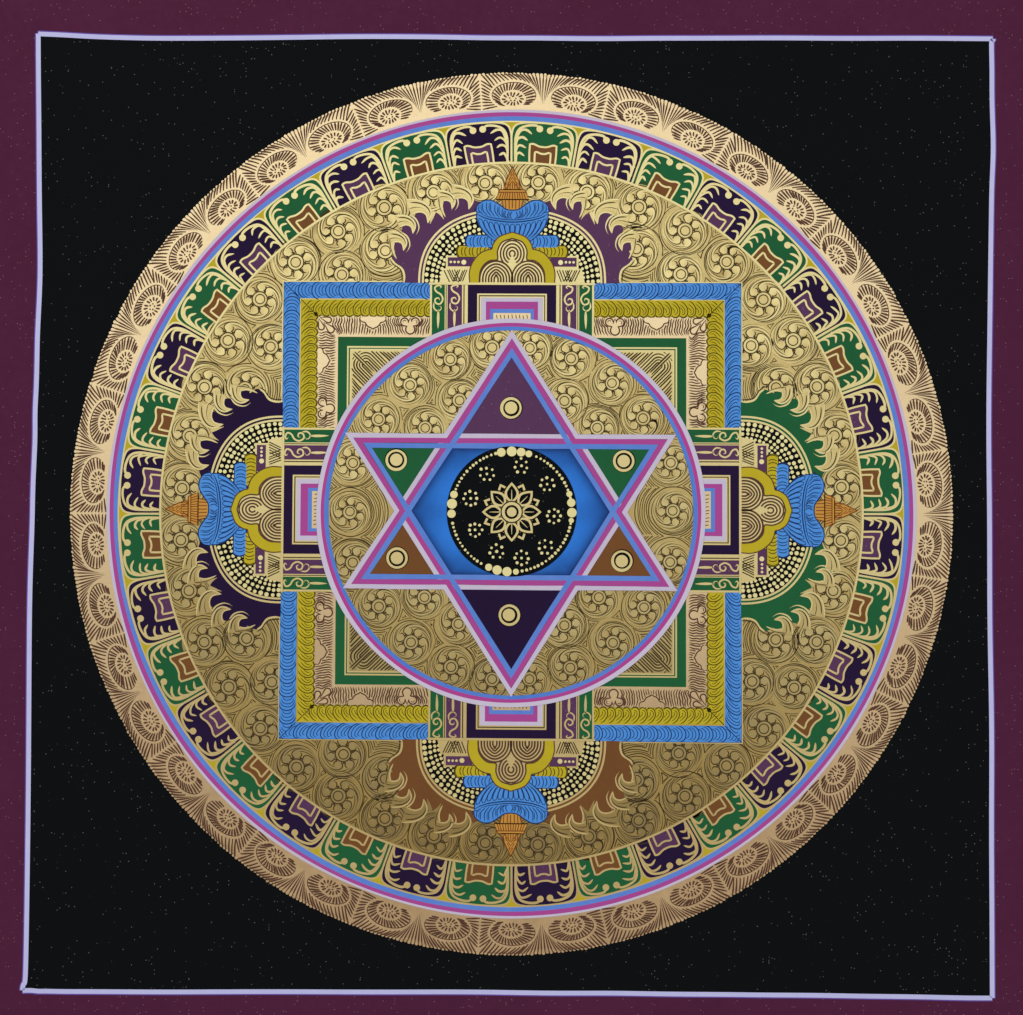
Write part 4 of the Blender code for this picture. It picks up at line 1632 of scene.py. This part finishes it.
    def doorway(self) -> None:
        """Lays the dark doorway with its double gold frame and the nested coloured steps."""
        self.box(GOLD_LINE, -41.0, 41.0, -29.0, 0.5, 14.6)
        self.box(AUBERGINE, -22.1, 22.1, -27.0, -0.5, 15.4)
        steps = ((GOLD_LINE, 17.4, -4.9), (UMBER, 16.6, -5.7), (GOLD_LINE, 16.1, -6.3), (PEARL, 15.5, -6.9),
                 (MAGENTA, 13.0, -8.9), (CORNFLOWER, 10.9, -12.6), (ROSE_GOLD, 9.3, -14.6))
        for k, (paint, half, high) in enumerate(steps):
            self.box(paint, -half, half, -27.0, high, 16.0 + 0.5 * k)
        ticks = np.linspace(-7.6, 7.6, 9)
        lines = np.stack([np.stack([ticks, ticks * 0 - 15.5], -1), np.stack([ticks + 0.3, ticks * 0 - 17.4], -1)], 1)
        self.stroke(UMBER, self.hand.slip(lines, 0.15), 0.4, 19.6, Tip.EVEN)

    def pilasters(self) -> None:
        """Lays the green and the mauve strip on each side, each with a curling vine and a spike."""
        vine = np.array([(0.7, -2.4), (1.5, -1.5), (0.3, -0.9), (-1.7, -1.9), (-1.0, -4.0), (1.3, -5.4), (2.3, -7.8),
                         (0.9, -10.2), (-1.3, -9.6), (-1.5, -7.8), (0.1, -7.2), (0.7, -8.4)])
        second = np.array([(-2.2, -9.4), (-2.3, -12.0), (-0.6, -13.6), (1.2, -12.8), (1.3, -11.4), (0.2, -11.2)])
        spike = np.array([(0.0, -12.8), (0.0, -17.0), (-0.1, -22.5)])
        for side in (1.0, -1.0):
            for ground, left, right in ((GREEN, -40.0, -33.6), (MAUVE, -32.2, -25.0)):
                self.box(ground, side * left, side * right, -29.0, -0.5, 15.4)
                middle = 0.5 * (left + right)
                for line, tip, width in ((vine, Tip.ROUND, 0.85), (second, Tip.COMMA, 0.85), (spike, Tip.LEAF, 1.3)):
                    path = smooth(line, 30 if line is vine else 12)[0] + [middle, 0.0]
                    self.stroke(GOLD_LINE, self.hand.slip(path[None], 0.08) * [side, 1.0], width, 16.2, tip)
            for across, width in ((-24.0, 0.55), (-32.9, 0.4)):
                self.stroke(UMBER, np.array([(across, -0.5), (across, -28.0)]) * [side, 1.0], width, 16.2, Tip.EVEN)
        self.stroke(GOLD_LINE, np.array([(-41.5, 0.0), (41.5, 0.0)]), 1.1, 26.2, Tip.EVEN)

    def capitals(self) -> None:
        """Lays the hatched capitals and the beaded boxes on them."""
        for side in (1.0, -1.0):
            s = np.array([side, 1.0])
            cap = np.array([(-36.4, 0.4), (-19.0, 0.4), (-19.4, 7.6), (-34.8, 7.6)])
            self.coat(GOLD_LINE).fill(cap * s, 18.6)
            top = np.linspace(-33.8, -22.4, 10)
            foot = np.where(top < -28.4, top + 2.8, top - 2.2)
            lines = np.stack([np.stack([top, top * 0 + 6.9], -1), np.stack([foot, top * 0 + 1.1], -1)], 1)
            self.stroke(UMBER, self.hand.slip(lines, 0.14) * s, 0.55, 19.2, Tip.EVEN)
            self.box(GOLD_LINE, side * -33.2, side * -19.0, 7.6, 14.0, 18.6)
            self.box(MAUVE, side * -32.2, side * -19.0, 8.6, 13.1, 19.2)
            row = np.array([(-30.7, 10.8), (-28.8, 10.8), (-26.9, 10.8)])
            self.dots(CREAM, row * s, 0.66, 19.8, 8)
            self.dots(CREAM, np.array([(-24.2, 10.7)]) * s, 1.25, 19.8, 12)

    def roll(self, paint: Paint, line: Paint, side: float, box: tuple[float, ...], pitch: float, layer: float) -> None:
        """Lays a scalloped roll with a round outer end and coin lines along it.

        Args:
            paint: its ground.
            line: paint of its lines.
            side: 1 for the left of the gate, -1 for the right.
            box: left, right, foot and top.
            pitch: from one coin line to the next.
            layer: its first coat.
        """
        left, right, low, high = box
        radius = 0.5 * (high - low)
        turn = np.linspace(0.0, np.pi, 12)
        end = polar(-turn, np.full(12, radius)) * [0.6, 1.0] + [left + 0.6 * radius, low + radius]
        shape = np.concatenate([end, [(right, low), (right, high)]])
        for ground, grow, step in ((line, 0.45, 0.0), (paint, 0.0, 0.6)):
            grown = shape + grow * np.sign(shape - shape.mean(0))
            self.coat(ground).fill(grown * [side, 1.0], layer + step, spread=0.0)
        across = np.arange(left + 1.9, right, pitch)
        centres = np.stack([across, np.full(len(across), low + radius)], -1)
        squeeze = np.where(np.arange(len(across)) % 2, 0.8, 0.97)[:, None, None]
        coins = polar(-turn[1:-1], np.full(10, radius))[None] * squeeze * [0.62, 1.0] + centres[:, None]
        self.stroke(line, self.hand.slip(coins, 0.07) * [side, 1.0], 0.42, layer + 1.2, Tip.ROUND)

    def trefoil(self) -> None:
        """Lays the mustard trefoil and the three lobes of nested arcs inside it."""
        outer = np.array([(-21.2, 0.5), (-21.4, 5.6), (-19.8, 10.6), (-16.2, 15.0), (-12.6, 16.8), (-10.2, 17.4),
                          (-9.6, 19.6), (-6.6, 23.4), (0.0, 25.8)])
        inner = np.array([(-16.0, 0.5), (-16.1, 5.4), (-14.4, 9.0), (-11.4, 11.4), (-8.0, 11.8), (-7.2, 12.8),
                          (-7.3, 16.6), (-5.0, 20.8), (0.0, 22.6)])
        lines = [self.both(smooth(half, 34)[0]) for half in (outer, inner)]
        self.raised(MUSTARD, lines[0], 0.5, 22.6)
        self.stroke(SEPIA, lines[0], 0.55, 23.2, Tip.EVEN)
        self.raised(GOLD_LINE, lines[1], 0.5, 23.8)
        self.stroke(SEPIA, lines[1], 0.7, 24.4, Tip.EVEN)
        top = arc(np.array([5.9, 4.4, 2.9, 1.4]), np.radians(-155.0), np.radians(155.0), 26) * [1.0, 1.12] + [0.0, 15.0]
        self.stroke(SEPIA, top, 0.82, 24.4, Tip.EVEN)
        turn, radii = np.linspace(-np.pi / 2, np.pi / 2, 20), np.array([8.4, 6.8, 5.3, 3.8, 2.4, 1.0])
        for side in (1.0, -1.0):
            arches = polar(turn[None] + 0 * radii[:, None], radii[:, None] + 0 * turn[None])
            arches = arches * [0.98, 1.06] + [-8.0 * side, 2.4]
            arches[..., 1] += 0.14 * (8.4 - radii[:, None]) * np.exp(-((turn / 0.4) ** 2))
            feet = [np.stack([arches[:, end, 0], np.full(len(radii), 0.7)], -1)[:, None] for end in (0, -1)]
            arches = np.concatenate([feet[0], arches, feet[1]], 1)
            self.raised(GOLD_LINE, arches[0], 0.5, 25.0)
            self.stroke(SEPIA, arches, self.hand.rng.uniform(0.75, 0.95, len(radii)), 25.6, Tip.EVEN)

    def bowl(self, s: Array, t: float | Array) -> Array:
        """The bowl as a surface: three rows, rim, belly and foot, joined by a parabola."""
        rim = np.stack([17.6 * s, 35.0 - 3.9 * (1 - s**2)], -1)
        belly = np.stack([15.9 * s, 28.0 - 1.6 * (1 - s**2)], -1)
        foot = np.stack([9.4 * s, 21.8 + 0 * s], -1)
        t = np.asarray(t)[..., None]
        return rim * (2 * t - 1) * (t - 1) + belly * 4 * t * (1 - t) + foot * t * (2 * t - 1)

    def vase(self) -> None:
        """Lays the blue vase: a bowl of upright tongues and a two-lobed roll on its rim."""
        s, t = np.meshgrid(np.linspace(-1.0, 1.0, 33), np.linspace(0.0, 1.0, 9), indexing="ij")
        self.coat(NAVY).lay((self.bowl(s, t) - [0, 28]) * [1.03, 1.04] + [0, 28], 20.8, spread=0.0)
        self.coat(AZURE).lay(self.bowl(s, t), 21.4, spread=0.0)
        middle = np.linspace(-0.92, 0.92, 13)[:, None]
        beside = 0.058 * np.array([-1.0, -1.1, -1.2, -1.1, -0.6, 0.6, 1.1, 1.2, 1.1, 1.0])
        down = np.array([0.98, 0.7, 0.45, 0.26, 0.15, 0.15, 0.26, 0.45, 0.7, 0.98])
        tongues = self.bowl(middle + beside, down[None] + 0 * middle)
        self.stroke(NAVY, self.hand.slip(tongues, 0.05), 0.42, 22.0, Tip.ROUND)
        top = np.array([(-18.2, 35.4), (-17.6, 39.0), (-14.4, 41.4), (-10.4, 41.6), (-6.4, 39.4), (-3.2, 37.2), (0.0, 36.7)])
        low = np.array([(-18.2, 35.4), (-15.6, 33.6), (-11.6, 32.2), (-8.0, 31.5), (-4.0, 31.0), (-2.0, 30.8), (0.0, 30.8)])
        high, foot = (self.both(smooth(half, 24)[0]) for half in (top, low))
        self.coat(AZURE).lay(between(foot, high, 4), 22.6, spread=0.0)
        for line, width in ((high, 0.55), (foot, 0.6), (foot[3:-3] + [0.0, 1.1], 0.45)):
            self.stroke(NAVY, line, width, 23.2, Tip.ROUND)
        k = np.arange(3, len(high) - 3, 2)
        lean = np.sign(high[k, 0])[:, None] * np.array([[1.3, 0.0]])
        lines = np.stack([foot[k] + [0, 1.5], 0.5 * (foot[k] + high[k]) + 0.9 * lean, high[k] * 0.93 + foot[k] * 0.07], 1)
        self.stroke(NAVY, smooth(lines, 7), 0.45, 23.2, Tip.ROUND)
        short = lines[::2] * [1.0, 0.0] + [0.0, 0.0] + lines[::2] * [0.0, 1.0] + 0.55 * lean[::2][:, None]
        self.stroke(NAVY, smooth(short, 7)[:, 2:], 0.36, 23.2, Tip.LEAF)

    def finial(self) -> None:
        """Lays the amber finial: a fluted neck, a slatted base and a spire of nested chevrons."""
        spire = np.array([(0.0, 58.4), (1.1, 55.8), (2.8, 52.4), (3.8, 49.6), (4.7, 47.0)])
        neck = np.array([(5.4, 42.2), (4.6, 38.6), (4.2, 36.6), (0.0, 36.0)])
        base = np.array([(6.4, 47.0), (6.9, 45.6), (8.2, 42.0), (0.0, 42.0)])
        across = np.linspace(-1.0, 1.0, 13)
        for shape, step in ((neck, 0.0), (spire, 0.6), (base, 1.2)):
            half = np.concatenate([shape, (shape * [-1, 1])[::-1]])
            self.coat(AMBER).fill(half, 16.4 + step, np.array([[0.0, half[:, 1].mean()]]), spread=0.0)
            self.stroke(RUST, half, 0.5, 19.0, Tip.EVEN)
        for foot_half, low, top_half, high, n in ((8.0, 42.3, 6.7, 45.5, 13), (5.0, 37.6, 5.3, 41.8, 7), (5.0, 47.4, 4.2, 50.6, 9)):
            across = np.linspace(-1.0, 1.0, n)[1:-1]
            slats = np.stack([np.stack([foot_half * across, low + 0 * across], -1),
                              np.stack([top_half * across, high + 0 * across], -1)], 1)
            self.stroke(RUST, self.hand.slip(slats, 0.06), 0.45, 19.0, Tip.EVEN)
        for half, level in ((8.2, 42.1), (6.9, 45.7), (6.4, 47.0)):
            self.stroke(RUST, np.array([(-half, level), (half, level)]), 0.5, 19.0, Tip.EVEN)
        for k in range(4):
            peak = 56.6 - 1.75 * k
            chevron = np.array([(-0.9 - 0.85 * k, peak - 2.4 - 0.6 * k), (0.0, peak), (0.9 + 0.85 * k, peak - 2.4 - 0.6 * k)])
            self.stroke(RUST, chevron, 0.45, 19.0, Tip.EVEN)


class Studio:
    """Camera, soft lights and the pale floor."""

    frame_centre: float = 3.25  # mm that the photographed frame's middle lies above the mandala's
    frame_width: float = 511.5
    lens: float = 100.0
    sensor: float = 36.0

    def build(self) -> None:
        """Sets up the camera straight above the canvas, the lights and the floor."""
        scene = bpy.context.scene
        scene.view_settings.view_transform = "Standard"
        camera_data = bpy.data.cameras.new("camera")
        camera_data.lens, camera_data.sensor_width = self.lens, self.sensor
        camera_data.clip_end = 30.0
        camera = bpy.data.objects.new("camera", camera_data)
        height = self.frame_width * self.lens / self.sensor + CLOTH.thickness
        camera.location = (0.0, self.frame_centre * MM, height * MM)
        scene.collection.objects.link(camera)
        scene.camera = camera
        world = bpy.data.worlds.new("studio")
        world.use_nodes = True
        world.node_tree.nodes["Background"].inputs[0].default_value = (0.92, 0.95, 1.0, 1.0)
        world.node_tree.nodes["Background"].inputs[1].default_value = 0.62
        scene.world = world
        self.lamp("key", (-0.7, 1.5, 1.9), 1.1, 26.0)
        self.lamp("fill", (1.2, -0.9, 1.8), 1.4, 8.0)
        floor_mesh = bpy.data.meshes.new("floor")
        far = 6.0
        floor_mesh.from_pydata([(-far, -far, -0.0005), (far, -far, -0.0005), (far, far, -0.0005), (-far, far, -0.0005)],
                               [], [(0, 1, 2, 3)])
        paper = bpy.data.materials.new("floor_paper")
        paper.use_nodes = True
        paper.node_tree.nodes["Principled BSDF"].inputs["Base Color"].default_value = (0.74, 0.73, 0.71, 1.0)
        paper.node_tree.nodes["Principled BSDF"].inputs["Roughness"].default_value = 0.9
        floor_mesh.materials.append(paper)
        floor = bpy.data.objects.new("floor", floor_mesh)
        scene.collection.objects.link(floor)

    def lamp(self, name: str, place: tuple[float, float, float], size: float, power: float) -> None:
        """Adds a square soft lamp that faces the canvas.

        Args:
            name: the lamp's name.
            place: where it stands, in metres.
            size: width of its panel in metres.
            power: its power in watts.
        """
        data = bpy.data.lights.new(name, "AREA")
        data.size, data.energy = size, power
        lamp = bpy.data.objects.new(name, data)
        lamp.location = place
        x, y, z = place
        lamp.rotation_euler = (math.atan2(math.hypot(x, y), z), 0.0, math.atan2(y, x) + math.pi / 2)
        bpy.context.scene.collection.objects.link(lamp)


def main() -> None:
    """Builds the sheet, every part of the picture in painting order, and the studio."""
    logging.basicConfig(level=logging.INFO, format="%(name)s %(message)s")
    Studio().build()
    CanvasSheet().build()
    for part in (Border(seed=2), OuterRing(seed=3), RingStripes(seed=4), PetalRing(seed=5), FloralBand(seed=6),
                 PalaceWalls(seed=7), InnerCircle(seed=8), StarFrames(seed=9), Heart(seed=10),
                 Gate("gate_top", 11, quarter=0, flame=MAUVE, shift=-0.2),
                 Gate("gate_right", 12, quarter=1, flame=GREEN, shift=-1.4),
                 Gate("gate_foot", 13, quarter=2, flame=EARTH, shift=-0.4),
                 Gate("gate_left", 14, quarter=3, flame=AUBERGINE, shift=0.4)):
        part.build()
    LOG.info("%d pieces of paint", len(Coat.made))


if __name__ == "__main__":
    main()
